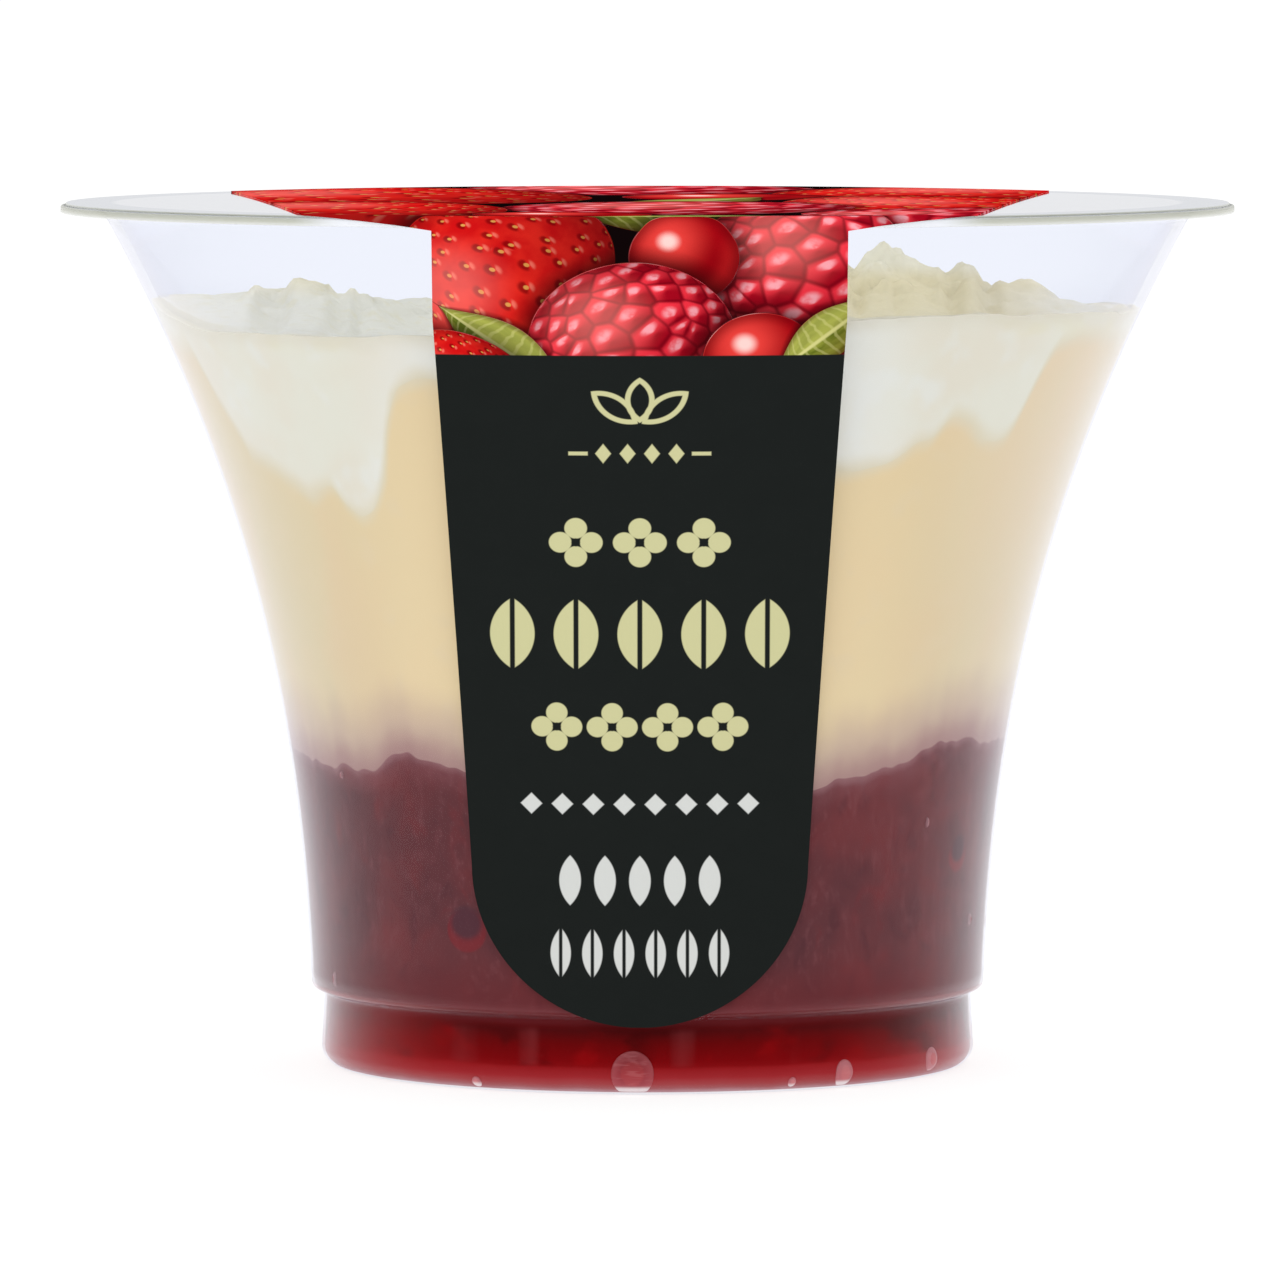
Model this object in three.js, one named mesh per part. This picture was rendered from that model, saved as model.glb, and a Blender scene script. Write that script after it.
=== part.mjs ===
// A single-serve berry trifle in a clear flared pot, shut by a clear film under a printed card label.
// Millimetres, +Z up. The origin is the centre of the pot's foot, on the surface it stands on.
// The label's tongue hangs down the front, which faces -Y.
import * as THREE from "three";

// ---------------------------------------------------------------- driving sizes

const POT = {
  wall: 0.9, // thickness of the moulded wall
  floor: 0.9, // thickness under the jelly
  contactRadius: 25.0, // flat disc that stands on the table
  footCorner: 1.5, // rounding between that disc and the foot's side
  footTopRadius: 26.3, // the foot narrows a little going up
  stepZ: 6.1, // where the body steps out over the foot
  wallStartZ: 8.0,
  wallEndZ: 68.2,
  flareRadius: 27.4, // body radius at the bottom of the flare
  flareLinear: 3.0, // radius gained evenly over the flare's height
  flareCurved: 13.0, // radius gained by the curve over the same height
  flarePower: 2.25,
  flareHeight: 60,
  rimRadius: 47.5,
  rimUnderZ: 69.2,
  rimTopZ: 69.8,
};

const FILM = { radius: 47.1, thickness: 0.2 };

const LABEL = {
  offsetX: -0.6, // it is stuck on a little to the left
  thickness: 0.35,
  seam: 0.05, // above the film
  backRadius: 44.5, // its back edge follows the rim just inside it
  backHalf: 34.2, // half widths across the lid, back and front
  frontHalf: 26.2,
  bendCentreRadius: 47.2, // the bend over the rim turns about this circle
  bendInner: 0.65,
  rootZ: 69.0, // where the shoulders have narrowed to the tongue
  tongueHalf: 16.05,
  taperStartZ: 62,
  endHalf: 13.3, // half width where the rounded end starts
  endZ: 18.3,
  endDrop: 12.7, // height of the rounded end
  clear: 0.3, // off the pot's wall at the bottom
  liftStartZ: 25, // above this the tongue leaves the wall to reach the rim
};

const FILL = {
  clear: 0.3, // contents to wall
  seam: 0.2, // layer to layer
  jellyTopZ: 6.5,
  compoteZ: 26.2,
  custardUnderShore: 1.6, // how far the custard stays below the cream's edge on the wall
  creamMiddleZ: 61.2,
};

// Height of the cream's edge on the wall, at angles from the front towards +X.
const SHORE = [
  { at: -90, z: 62.3 },
  { at: -62, z: 60.2 },
  { at: -30, z: 60.3 },
  { at: 0, z: 61.1 },
  { at: 36, z: 62.0 },
  { at: 90, z: 61.4 },
  { at: 150, z: 60.9 },
  { at: 215, z: 60.8 },
];

// Spoonfuls of cream that sank into the custard along the wall: degrees and millimetres.
const SUNK_CREAM = [
  { at: -49.5, reach: 17, depth: 8.6, edge: 5 },
  { at: -42, reach: 9, depth: 4.0, edge: 6 },
  { at: 22, reach: 34.5, depth: 7.2, edge: 4 },
  { at: 22, reach: 15, depth: 3.3, edge: 8 },
  { at: 48, reach: 6, depth: 1.3, edge: 6 },
  { at: 112, reach: 17, depth: 7.5, edge: 6 },
  { at: 105, reach: 8, depth: 3.2, edge: 7 },
  { at: 158, reach: 13, depth: 5.0, edge: 6 },
  { at: 207, reach: 21, depth: 8.0, edge: 7 },
  { at: 216, reach: 9, depth: 3.4, edge: 7 },
  { at: 251, reach: 9, depth: 4.2, edge: 5 },
];

// Fruit and jelly that stand up from the compote along the wall.
const COMPOTE_BUMPS = [
  { at: -40, reach: 6, height: 1.3 },
  { at: -74, reach: 9, height: 0.5 },
  { at: 51, reach: 9, height: 1.2 },
  { at: 70, reach: 14, height: 1.2 },
  { at: 103, reach: 8, height: -0.7 },
  { at: 128, reach: 10, height: 1.0 },
  { at: 171, reach: 12, height: 1.4 },
  { at: 199, reach: 7, height: -0.8 },
  { at: 228, reach: 9, height: 1.1 },
];

// Dollops on the cream's top: place, height above the fill and half widths.
const DOLLOPS = [
  { x: 23, y: 2, height: 2.4, wide: 11.5, deep: 14 },
  { x: 19.3, y: 3, height: 2.5, wide: 3.0, deep: 6 },
  { x: 25.6, y: 0, height: 0.9, wide: 2.0, deep: 5 },
  { x: 30.6, y: -2, height: 1.3, wide: 2.6, deep: 7 },
  { x: -28.3, y: 3, height: 2.1, wide: 3.2, deep: 6 },
  { x: -23.8, y: 1, height: 1.4, wide: 1.9, deep: 4.5 },
  { x: -18, y: 6, height: 1.1, wide: 3.5, deep: 6 },
  { x: 3, y: 8, height: 2.2, wide: 9, deep: 9 },
  { x: -8, y: -14, height: 1.7, wide: 8, deep: 7 },
  { x: 7, y: -21, height: 1.5, wide: 6, deep: 5 },
  { x: -13, y: 22, height: 2.0, wide: 7, deep: 6 },
  { x: 9, y: 27, height: 1.8, wide: 6, deep: 4.5 },
];

const ROUND = { pot: 60, film: 60, jelly: 60, layers: 90 }; // facets round each turned piece

// ---------------------------------------------------------------- small helpers

const radians = (degrees) => (degrees * Math.PI) / 180;
const mix = (a, b, share) => a + (b - a) * share;
const clamp01 = (value) => Math.min(1, Math.max(0, value));
const smooth = (value) => clamp01(value) ** 2 * (3 - 2 * clamp01(value));

// Signed angle from one direction to another, in degrees, between -180 and 180.
const turnFrom = (from, to) => ((((to - from + 180) % 360) + 360) % 360) - 180;

// Angle 0 points to the front, -Y, and grows towards +X.
const onCircle = (radius, degrees) => [
  radius * Math.sin(radians(degrees)),
  -radius * Math.cos(radians(degrees)),
];

// Points [radius, z] of an arc, both ends included.
function arc(centreR, centreZ, radius, from, to, steps) {
  return Array.from({ length: steps + 1 }, (_, i) => {
    const angle = radians(mix(from, to, i / steps));
    return [centreR + radius * Math.cos(angle), centreZ + radius * Math.sin(angle)];
  });
}

function turned(profile, facets) {
  const points = profile.map(([r, z]) => new THREE.Vector2(r, z));
  return new THREE.LatheGeometry(points, facets).rotateX(Math.PI / 2);
}

// A closed surface from corner points and faces given as triples of point numbers.
function shell(points, faces) {
  const geometry = new THREE.BufferGeometry();
  geometry.setAttribute("position", new THREE.Float32BufferAttribute(points.flat(), 3));
  geometry.setIndex(faces.flat());
  geometry.computeVertexNormals();
  return geometry;
}

function piece(name, geometry, material) {
  const mesh = new THREE.Mesh(geometry, material);
  mesh.name = name;
  return mesh;
}

// ---------------------------------------------------------------- the pot

// Outer radius of the flared body at a height.
function bodyRadius(z) {
  const rise = Math.max(0, (z - POT.wallStartZ) / POT.flareHeight);
  return POT.flareRadius + POT.flareLinear * rise + POT.flareCurved * rise ** POT.flarePower;
}

function bodyWall(from, to, steps, inset) {
  return Array.from({ length: steps + 1 }, (_, i) => {
    const z = mix(from, to, i / steps);
    return [bodyRadius(z) - inset, z];
  });
}

function potOutside() {
  const foot = arc(POT.contactRadius, POT.footCorner, POT.footCorner, -90, 0, 3);
  const step = [
    [POT.footTopRadius, POT.stepZ - 0.3],
    [POT.footTopRadius + 0.15, POT.stepZ],
    [POT.flareRadius - 0.5, POT.stepZ + 0.15],
    [POT.flareRadius - 0.08, POT.stepZ + 0.9],
  ];
  const body = bodyWall(POT.wallStartZ + 0.6, POT.wallEndZ, 10, 0);
  const underRim = [[bodyRadius(POT.wallEndZ) + 0.9, POT.rimUnderZ]];
  return [[0, 0], ...foot, ...step, ...body, ...underRim];
}

function rimEdge() {
  const soften = 0.12;
  return [
    [POT.rimRadius - soften, POT.rimUnderZ],
    [POT.rimRadius, POT.rimUnderZ + soften],
    [POT.rimRadius, POT.rimTopZ - soften],
    [POT.rimRadius - soften, POT.rimTopZ],
  ];
}

// The inner face, from the mouth down to the middle of the floor.
function potInside() {
  const mouth = [
    [bodyRadius(POT.wallEndZ) + 0.6, POT.rimTopZ],
    [bodyRadius(POT.wallEndZ) - 0.5, POT.rimTopZ - 0.4],
  ];
  const body = bodyWall(POT.wallEndZ, POT.wallStartZ + 0.9, 9, POT.wall);
  const step = [
    [POT.flareRadius - POT.wall - 0.1, POT.stepZ + 1.4],
    [POT.footTopRadius - POT.wall + 0.1, POT.stepZ + 0.9],
    [POT.footTopRadius - POT.wall, POT.stepZ + 0.5],
  ];
  const corner = POT.footCorner - 0.6;
  const foot = arc(POT.contactRadius - 0.3, POT.floor + corner, corner, 0, -90, 2);
  return [...mouth, ...body, ...step, ...foot, [0, POT.floor]];
}

// Radius that contents may reach at a height, just off the pot's inner face.
function fillRadius(z) {
  const face = potInside();
  const above = face.findIndex((point) => point[1] <= z);
  if (above <= 0) return bodyRadius(z) - POT.wall - FILL.clear;
  const [upperR, upperZ] = face[above - 1];
  const [lowerR, lowerZ] = face[above];
  const share = upperZ === lowerZ ? 0 : (z - lowerZ) / (upperZ - lowerZ);
  return mix(lowerR, upperR, share) - FILL.clear;
}

function makePot() {
  const clearPlastic = new THREE.MeshStandardMaterial({
    color: 0xf1f3f8,
    roughness: 0.12,
    metalness: 0,
    transparent: true,
    opacity: 0.3,
  });
  const profile = [...potOutside(), ...rimEdge(), ...potInside()];
  return piece("pot", turned(profile, ROUND.pot), clearPlastic);
}

// ---------------------------------------------------------------- the lid film

function makeFilm() {
  const clearFilm = new THREE.MeshStandardMaterial({
    color: 0xf3f5fa,
    roughness: 0.1,
    metalness: 0,
    transparent: true,
    opacity: 0.25,
  });
  const top = POT.rimTopZ + FILM.thickness;
  const profile = [[0, POT.rimTopZ], [FILM.radius, POT.rimTopZ], [FILM.radius, top], [0, top]];
  return piece("lid_film", turned(profile, ROUND.film), clearFilm);
}

// ---------------------------------------------------------------- the label

// One row of the label: a curve across it, as [x, y, z] at a share -1..1 of its half width.
// Rows on the lid run from the arc of the back edge to the circle of the bend.
function lidRow(share, radius, z) {
  const half = mix(LABEL.backHalf, LABEL.frontHalf, share);
  return (across) => {
    const x = LABEL.offsetX + across * half;
    const back = Math.sqrt(LABEL.backRadius ** 2 - x ** 2);
    const front = -Math.sqrt(radius ** 2 - x ** 2);
    return [x, mix(back, front, share), z];
  };
}

// Rows past the bend lie on a circle about the pot's axis.
function hangingRow(radius, z, half) {
  return (across) => {
    const x = LABEL.offsetX + across * half;
    return [x, -Math.sqrt(radius ** 2 - x ** 2), z];
  };
}

// Half width of the shoulders, which narrow as they turn over the rim.
function shoulderHalf(z) {
  const drop = (topOfLabel() - z) / (topOfLabel() - LABEL.rootZ);
  return mix(LABEL.frontHalf, LABEL.tongueHalf, clamp01(drop) ** 0.75);
}

const topOfLabel = () => POT.rimTopZ + FILM.thickness + LABEL.seam + LABEL.thickness;

function tongueHalf(z) {
  const taper = clamp01((LABEL.taperStartZ - z) / (LABEL.taperStartZ - LABEL.endZ));
  return mix(LABEL.tongueHalf, LABEL.endHalf, taper);
}

// Inner radius of the tongue: on the wall at the bottom, out at the rim at the top.
function tongueRadius(z) {
  const onWall = bodyRadius(z) + LABEL.clear;
  const atRim = LABEL.bendCentreRadius + LABEL.bendInner;
  const reach = atRim - (bodyRadius(LABEL.rootZ) + LABEL.clear);
  const lift = clamp01((z - LABEL.liftStartZ) / (LABEL.rootZ - LABEL.liftStartZ));
  return onWall + reach * lift;
}

// The label's rows for one of its faces, by how far that face is from the inner one.
function labelRows(offset) {
  const bend = LABEL.bendInner + offset;
  const bendZ = topOfLabel() - LABEL.thickness - LABEL.bendInner;
  const lid = [0, 0.2, 0.4, 0.6, 0.8, 1].map((share) =>
    lidRow(share, LABEL.bendCentreRadius, bendZ + bend),
  );
  const overRim = [25, 50, 75].map((angle) => {
    const z = bendZ + bend * Math.cos(radians(angle));
    const outerZ = bendZ + (LABEL.bendInner + LABEL.thickness) * Math.cos(radians(angle));
    const radius = LABEL.bendCentreRadius + bend * Math.sin(radians(angle));
    return hangingRow(radius, z, shoulderHalf(outerZ));
  });
  const atRoot = hangingRow(tongueRadius(LABEL.rootZ) + offset, LABEL.rootZ, LABEL.tongueHalf);
  const steps = 11;
  const tongue = Array.from({ length: steps }, (_, i) => {
    const z = mix(LABEL.rootZ, LABEL.endZ, (i + 1) / steps);
    return hangingRow(tongueRadius(z) + offset, z, tongueHalf(z));
  });
  const end = [14, 28, 41, 53, 64, 74, 84].map((angle) => {
    const z = LABEL.endZ - LABEL.endDrop * Math.sin(radians(angle));
    return hangingRow(tongueRadius(z) + offset, z, LABEL.endHalf * Math.cos(radians(angle)));
  });
  return [...lid, ...overRim, atRoot, ...tongue, ...end];
}

function makeLabel() {
  const printedCard = new THREE.MeshStandardMaterial({
    color: 0x212423,
    roughness: 0.45,
    metalness: 0,
  });
  const columns = 12;
  const rows = labelRows(0).length;
  const grid = (offset) =>
    labelRows(offset).flatMap((row) =>
      Array.from({ length: columns + 1 }, (_, i) => row(mix(-1, 1, i / columns))),
    );
  const points = [...grid(0), ...grid(LABEL.thickness)];
  const at = (face, row, column) => (face * rows + row) * (columns + 1) + column;
  const faces = [];
  const quad = (a, b, c, d) => faces.push([a, b, c], [a, c, d]);
  for (let r = 0; r < rows - 1; r++) {
    for (let c = 0; c < columns; c++) {
      quad(at(0, r, c), at(0, r, c + 1), at(0, r + 1, c + 1), at(0, r + 1, c));
      quad(at(1, r, c), at(1, r + 1, c), at(1, r + 1, c + 1), at(1, r, c + 1));
    }
    quad(at(0, r, 0), at(0, r + 1, 0), at(1, r + 1, 0), at(1, r, 0));
    quad(at(0, r, columns), at(1, r, columns), at(1, r + 1, columns), at(0, r + 1, columns));
  }
  for (let c = 0; c < columns; c++) {
    quad(at(0, 0, c), at(1, 0, c), at(1, 0, c + 1), at(0, 0, c + 1));
    quad(at(0, rows - 1, c), at(0, rows - 1, c + 1), at(1, rows - 1, c + 1), at(1, rows - 1, c));
  }
  return piece("label", shell(points, faces), printedCard);
}

// ---------------------------------------------------------------- the layers

// A layer's face: its height at an angle and a share of the way from the middle to the wall.
const flat = (z) => () => z;

function shoreZ(degrees) {
  const after = (mark) => (turnFrom(mark.at, degrees) + 360) % 360;
  const pairs = SHORE.map((mark, i) => [mark, SHORE[(i + 1) % SHORE.length]]);
  const span = ([low, high]) => (turnFrom(low.at, high.at) + 360) % 360;
  const around = pairs.find((pair) => after(pair[0]) < span(pair));
  return mix(around[0].z, around[1].z, smooth(after(around[0]) / span(around)));
}

// Small unevenness round the wall, the same each time.
function ripple(degrees, size, turns) {
  const a = radians(degrees);
  return size * (Math.sin(turns * a + 0.7) + 0.6 * Math.sin((2 * turns + 1) * a + 2.1));
}

function compoteTop(degrees, share) {
  const bumps = COMPOTE_BUMPS.reduce((sum, bump) => {
    const away = Math.abs(turnFrom(bump.at, degrees)) / bump.reach;
    return sum + bump.height * smooth(1 - away);
  }, 0);
  const sway = 0.7 * Math.sin(radians(degrees) * 2 - 2.6);
  return FILL.compoteZ + (bumps + sway + ripple(degrees, 0.12, 11)) * share ** 2;
}

function custardTop(degrees, share) {
  const sunk = SUNK_CREAM.reduce((sum, spoon) => {
    const inside = (spoon.reach - Math.abs(turnFrom(spoon.at, degrees))) / spoon.edge;
    return sum + spoon.depth * smooth(inside);
  }, 0);
  const atWall = shoreZ(degrees) - FILL.custardUnderShore - sunk + ripple(degrees, 0.15, 9);
  const inMiddle = FILL.creamMiddleZ - FILL.custardUnderShore - 6;
  return mix(inMiddle, atWall, share ** 2);
}

function creamTop(degrees, share) {
  const level = mix(FILL.creamMiddleZ, shoreZ(degrees), share ** 2);
  const [x, y] = onCircle(share * fillRadius(shoreZ(degrees)), degrees);
  const piled = DOLLOPS.reduce((sum, dollop) => {
    const away = ((x - dollop.x) / dollop.wide) ** 2 + ((y - dollop.y) / dollop.deep) ** 2;
    return sum + dollop.height * Math.exp(-(away ** 1.4));
  }, 0);
  const crumbs = 0.25 * Math.sin(0.9 * x + 1.3) * Math.sin(1.1 * y - 0.4);
  return level + (piled + crumbs) * (1 - share ** 6);
}

// A layer that fills the pot between two faces.
function layer(bottom, top, { facets, bottomRings, topRings, sideRows, lift = 0 }) {
  const points = [];
  const faces = [];
  const angleOf = (i) => (360 * i) / facets;
  const ring = (height, share) => {
    const start = points.length;
    for (let i = 0; i < facets; i++) {
      const [x, y] = onCircle(share * fillRadius(height(angleOf(i), 1)), angleOf(i));
      points.push([x, y, height(angleOf(i), share)]);
    }
    return start;
  };
  const join = (inner, outer) => {
    for (let i = 0; i < facets; i++) {
      const j = (i + 1) % facets;
      faces.push([inner + i, outer + i, outer + j], [inner + i, outer + j, inner + j]);
    }
  };
  const raised = (angle, share) => bottom(angle, share) + lift;

  const underMiddle = points.push([0, 0, raised(0, 0)]) - 1;
  let last = ring(raised, 1 / bottomRings);
  for (let i = 0; i < facets; i++) faces.push([underMiddle, last + i, last + ((i + 1) % facets)]);
  faces.forEach((face) => face.reverse());
  const underside = faces.length;
  for (let k = 2; k <= bottomRings; k++) {
    const next = ring(raised, k / bottomRings);
    join(last, next);
    last = next;
  }
  faces.slice(underside).forEach((face) => face.reverse());

  for (let row = 1; row <= sideRows; row++) {
    const start = points.length;
    for (let i = 0; i < facets; i++) {
      const z = mix(raised(angleOf(i), 1), top(angleOf(i), 1), row / sideRows);
      points.push([...onCircle(fillRadius(z), angleOf(i)), z]);
    }
    const first = faces.length;
    join(last, start);
    faces.slice(first).forEach((face) => face.reverse());
    last = start;
  }

  for (let k = topRings - 1; k >= 1; k--) {
    const next = ring(top, k / topRings);
    join(next, last);
    last = next;
  }
  const overMiddle = points.push([0, 0, top(0, 0)]) - 1;
  for (let i = 0; i < facets; i++) faces.push([overMiddle, last + i, last + ((i + 1) % facets)]);
  return shell(points, faces);
}

function makeJelly() {
  const redJelly = new THREE.MeshStandardMaterial({ color: 0x8c0f17, roughness: 0.15, metalness: 0 });
  const shape = { facets: ROUND.jelly, bottomRings: 1, topRings: 1, sideRows: 5 };
  const floor = POT.floor + FILL.clear;
  return piece("berry_jelly", layer(flat(floor), flat(FILL.jellyTopZ), shape), redJelly);
}

function makeCompote() {
  const darkFruit = new THREE.MeshStandardMaterial({ color: 0x6c3239, roughness: 0.35, metalness: 0 });
  const shape = { facets: ROUND.layers, bottomRings: 1, topRings: 3, sideRows: 5, lift: FILL.seam };
  return piece("berry_compote", layer(flat(FILL.jellyTopZ), compoteTop, shape), darkFruit);
}

function makeCustard() {
  const custard = new THREE.MeshStandardMaterial({ color: 0xe6d0a2, roughness: 0.4, metalness: 0 });
  const shape = { facets: ROUND.layers, bottomRings: 3, topRings: 3, sideRows: 6, lift: FILL.seam };
  return piece("custard", layer(compoteTop, custardTop, shape), custard);
}

function makeCream() {
  const cream = new THREE.MeshStandardMaterial({ color: 0xe9e6d8, roughness: 0.55, metalness: 0 });
  const shape = { facets: ROUND.layers, bottomRings: 3, topRings: 12, sideRows: 3, lift: FILL.seam };
  return piece("whipped_cream", layer(custardTop, creamTop, shape), cream);
}

// ---------------------------------------------------------------- the whole trifle

const trifle = new THREE.Group();
trifle.name = "berry_trifle_pot";
trifle.add(makePot(), makeFilm(), makeLabel());
trifle.add(makeJelly(), makeCompote(), makeCustard(), makeCream());

export default trifle;
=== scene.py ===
"""A single-serve berry trifle in a clear flared pot, shut by a clear film under a printed card label.

Sizes are in metres, and in millimetres in the finishes and in the lists of points. Angles round the
pot start at the front, -Y, and grow towards +X.
"""

import math
import random
from functools import partialmethod

import bpy
import numpy as np
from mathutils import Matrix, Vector, noise
from mathutils.bvhtree import BVHTree


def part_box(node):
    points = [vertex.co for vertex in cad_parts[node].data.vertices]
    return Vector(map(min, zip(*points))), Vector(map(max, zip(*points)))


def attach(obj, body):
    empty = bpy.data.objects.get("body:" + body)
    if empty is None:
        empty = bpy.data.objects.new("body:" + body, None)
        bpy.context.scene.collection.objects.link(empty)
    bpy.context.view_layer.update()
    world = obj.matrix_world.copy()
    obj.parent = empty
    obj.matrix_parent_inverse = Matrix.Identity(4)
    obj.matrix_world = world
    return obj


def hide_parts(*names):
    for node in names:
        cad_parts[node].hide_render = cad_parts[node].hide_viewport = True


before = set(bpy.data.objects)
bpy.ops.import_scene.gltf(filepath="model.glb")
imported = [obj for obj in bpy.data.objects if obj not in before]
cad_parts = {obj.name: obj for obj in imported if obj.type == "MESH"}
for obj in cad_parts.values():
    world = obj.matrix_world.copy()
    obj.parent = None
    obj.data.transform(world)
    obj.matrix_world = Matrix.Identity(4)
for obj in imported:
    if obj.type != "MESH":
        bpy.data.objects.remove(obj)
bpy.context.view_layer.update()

MM = 0.001
TURNS = 512  # steps round a food layer
POT_TURNS = 256  # steps round the pot and the film
NO_GAP = 0.001 * MM  # corners closer than this are one

# ------------------------------------------------------------------ sizes

POT_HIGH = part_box("pot")[1]
RIM_RADIUS = POT_HIGH.x
RIM_TOP = POT_HIGH.z
FILM_LOW, FILM_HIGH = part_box("lid_film")

WALL = 0.9 * MM
FLOOR = 0.9 * MM
CONTACT_RADIUS = 25.0 * MM  # the flat that the pot stands on
INNER_RING = CONTACT_RADIUS * 0.6  # a ring of corners within it
FOOT_CORNER = 1.5 * MM
FOOT_TOP_RADIUS = 26.3 * MM
STEP_HEIGHT = 6.1 * MM  # the ledge over the foot
FLARE_START = 8.0 * MM
FLARE_HEIGHT = 60.0 * MM
FLARE_END = 68.2 * MM
FLARE_RADIUS = 27.4 * MM  # at the flare's start
RIM_UNDER = RIM_TOP - 0.6 * MM
FOOD_UNDER_FACE = 0.22 * MM  # how far the food stays inside the wall's outer face
FOOD_FLOOR = 0.25 * MM

CARD = 0.13 * MM  # thickness
CARD_SEAM = 0.004 * MM  # between the film and the card
CARD_OFFSET = -0.6 * MM  # the card lies a little to the left
CARD_BACK_RADIUS = 44.5 * MM  # of the round back edge on the lid
CARD_BACK_HALF = 34.2 * MM
CARD_FRONT_HALF = 26.2 * MM
BEND_CENTRE = 47.2 * MM  # radius about which the card bends over the rim
BEND_INNER = 0.65 * MM
ROOT = 69.0 * MM  # height at which the tongue begins
TONGUE_HALF = 16.05 * MM
TAPER_START = 62.0 * MM
END_HALF = 13.3 * MM
END_START = 18.3 * MM  # height at which the tongue's end begins to round off
END_DROP = 12.7 * MM
CARD_CLEAR = 0.3 * MM  # between the wall and the tongue where it lies close
LIFT_START = 25.0 * MM  # the tongue leaves the wall above this height
SHOULDER_CURVE = 0.75  # under 1, the shoulders draw in faster at first


def mix(a, b, share):
    return a + (b - a) * share


def clamp(value, low=0.0, high=1.0):
    return min(high, max(low, value))


def smooth(value):
    value = clamp(value)
    return value * value * (3 - 2 * value)


def arc(centre_r, centre_z, radius, start, end, steps):
    """Points (radius, height) of an arc between two angles in degrees."""
    made = []
    for i in range(steps + 1):
        angle = math.radians(mix(start, end, i / steps))
        made.append((centre_r + radius * math.cos(angle), centre_z + radius * math.sin(angle)))
    return made


def body_radius(z):
    """Outer radius of the flared body at a height."""
    rise = max(0.0, (z - FLARE_START) / FLARE_HEIGHT)
    return FLARE_RADIUS + (3.0 * rise + 13.0 * rise**2.25) * MM


# ------------------------------------------------------------------ modelling tools


def deselect():
    if bpy.context.object and bpy.context.object.mode != "OBJECT":
        bpy.ops.object.mode_set(mode="OBJECT")
    bpy.ops.object.select_all(action="DESELECT")


def settle(piece, name):
    """Names a new piece and puts its place into its mesh."""
    bpy.ops.object.transform_apply(location=True, rotation=True, scale=True)
    piece.name = name
    piece.data.name = name
    return piece


def face_outwards(merged=0.0):
    """Turns the active piece's faces outwards. Given a distance, it merges corners closer than that first."""
    bpy.ops.object.mode_set(mode="EDIT")
    bpy.ops.mesh.select_all(action="SELECT")
    if merged:
        bpy.ops.mesh.remove_doubles(threshold=merged)
    bpy.ops.mesh.normals_make_consistent(inside=False)
    bpy.ops.object.mode_set(mode="OBJECT")


def turned(name, profile, turns):
    """A profile of (radius, height) points, drawn from a single corner and turned round the pot's axis."""
    deselect()
    first = profile[0]
    bpy.ops.mesh.primitive_plane_add(size=0.1 * MM, location=(first[0], 0, first[1]))
    piece = settle(bpy.context.object, name)
    bpy.ops.object.mode_set(mode="EDIT")
    bpy.ops.mesh.select_all(action="SELECT")
    bpy.ops.mesh.merge(type="CENTER")
    for here, there in zip(profile, profile[1:]):
        along = (there[0] - here[0], 0, there[1] - here[1])
        bpy.ops.mesh.extrude_region_move(TRANSFORM_OT_translate={"value": along})
    bpy.ops.object.mode_set(mode="OBJECT")
    turn = piece.modifiers.new("turn", "SCREW")
    turn.axis = "Z"
    turn.angle = 2 * math.pi
    turn.steps = turn.render_steps = turns
    turn.use_merge_vertices = True
    turn.merge_threshold = NO_GAP
    bpy.ops.object.modifier_apply(modifier="turn")
    face_outwards(NO_GAP)
    bpy.ops.object.shade_smooth_by_angle(angle=math.radians(40))
    return piece


def corners(piece):
    """The piece's corners as an array of x, y, z."""
    at = np.zeros(len(piece.data.vertices) * 3)
    piece.data.vertices.foreach_get("co", at)
    return at.reshape(-1, 3)


def move_corners(piece, at):
    piece.data.vertices.foreach_set("co", np.asarray(at, float).ravel())
    piece.data.update()


def keep_number(piece, name, values):
    """Stores one number at each corner, for the finish to read."""
    made = piece.data.attributes.new(name, "FLOAT", "POINT")
    made.data.foreach_set("value", np.asarray(values, np.float32))


def finished(piece, slot, materials, *nodes):
    for material in materials:
        piece.data.materials.append(material)
    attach(piece, "root")
    if nodes:
        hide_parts(*nodes)
    return piece


# ------------------------------------------------------------------ shader tools


class Wire:
    """A shader socket that takes part in sums written as Python."""

    def __init__(self, finish, socket):
        self.finish = finish
        self.socket = socket

    def sum(self, operation, *numbers):
        return self.finish.node("ShaderNodeMath", {"operation": operation}, dict(enumerate(numbers)))

    # a sum with the wire as its first or its second number
    def first(self, operation, other):
        return self.sum(operation, self, other)

    def second(self, operation, other):
        return self.sum(operation, other, self)

    __add__ = partialmethod(first, "ADD")
    __radd__ = partialmethod(second, "ADD")
    __sub__ = partialmethod(first, "SUBTRACT")
    __rsub__ = partialmethod(second, "SUBTRACT")
    __mul__ = partialmethod(first, "MULTIPLY")
    __rmul__ = partialmethod(second, "MULTIPLY")
    __truediv__ = partialmethod(first, "DIVIDE")
    __pow__ = partialmethod(first, "POWER")
    least = partialmethod(first, "MINIMUM")
    most = partialmethod(first, "MAXIMUM")

    def __abs__(self):
        return self.sum("ABSOLUTE", self)

    def spread(self, low, high, at_low=0.0, at_high=1.0, kind="LINEAR"):
        """at_low at low and below, at_high at high and above. low may be the larger."""
        if low > high:
            low, high, at_low, at_high = high, low, at_high, at_low
        sockets = {"Value": self, "From Min": low, "From Max": high, "To Min": at_low, "To Max": at_high}
        return self.finish.node("ShaderNodeMapRange", {"interpolation_type": kind}, sockets)

    def between(self, low, high):
        """0 at low and below, 1 at high and above, smooth between. low may be the larger."""
        return self.spread(low, high, kind="SMOOTHSTEP")


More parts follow.
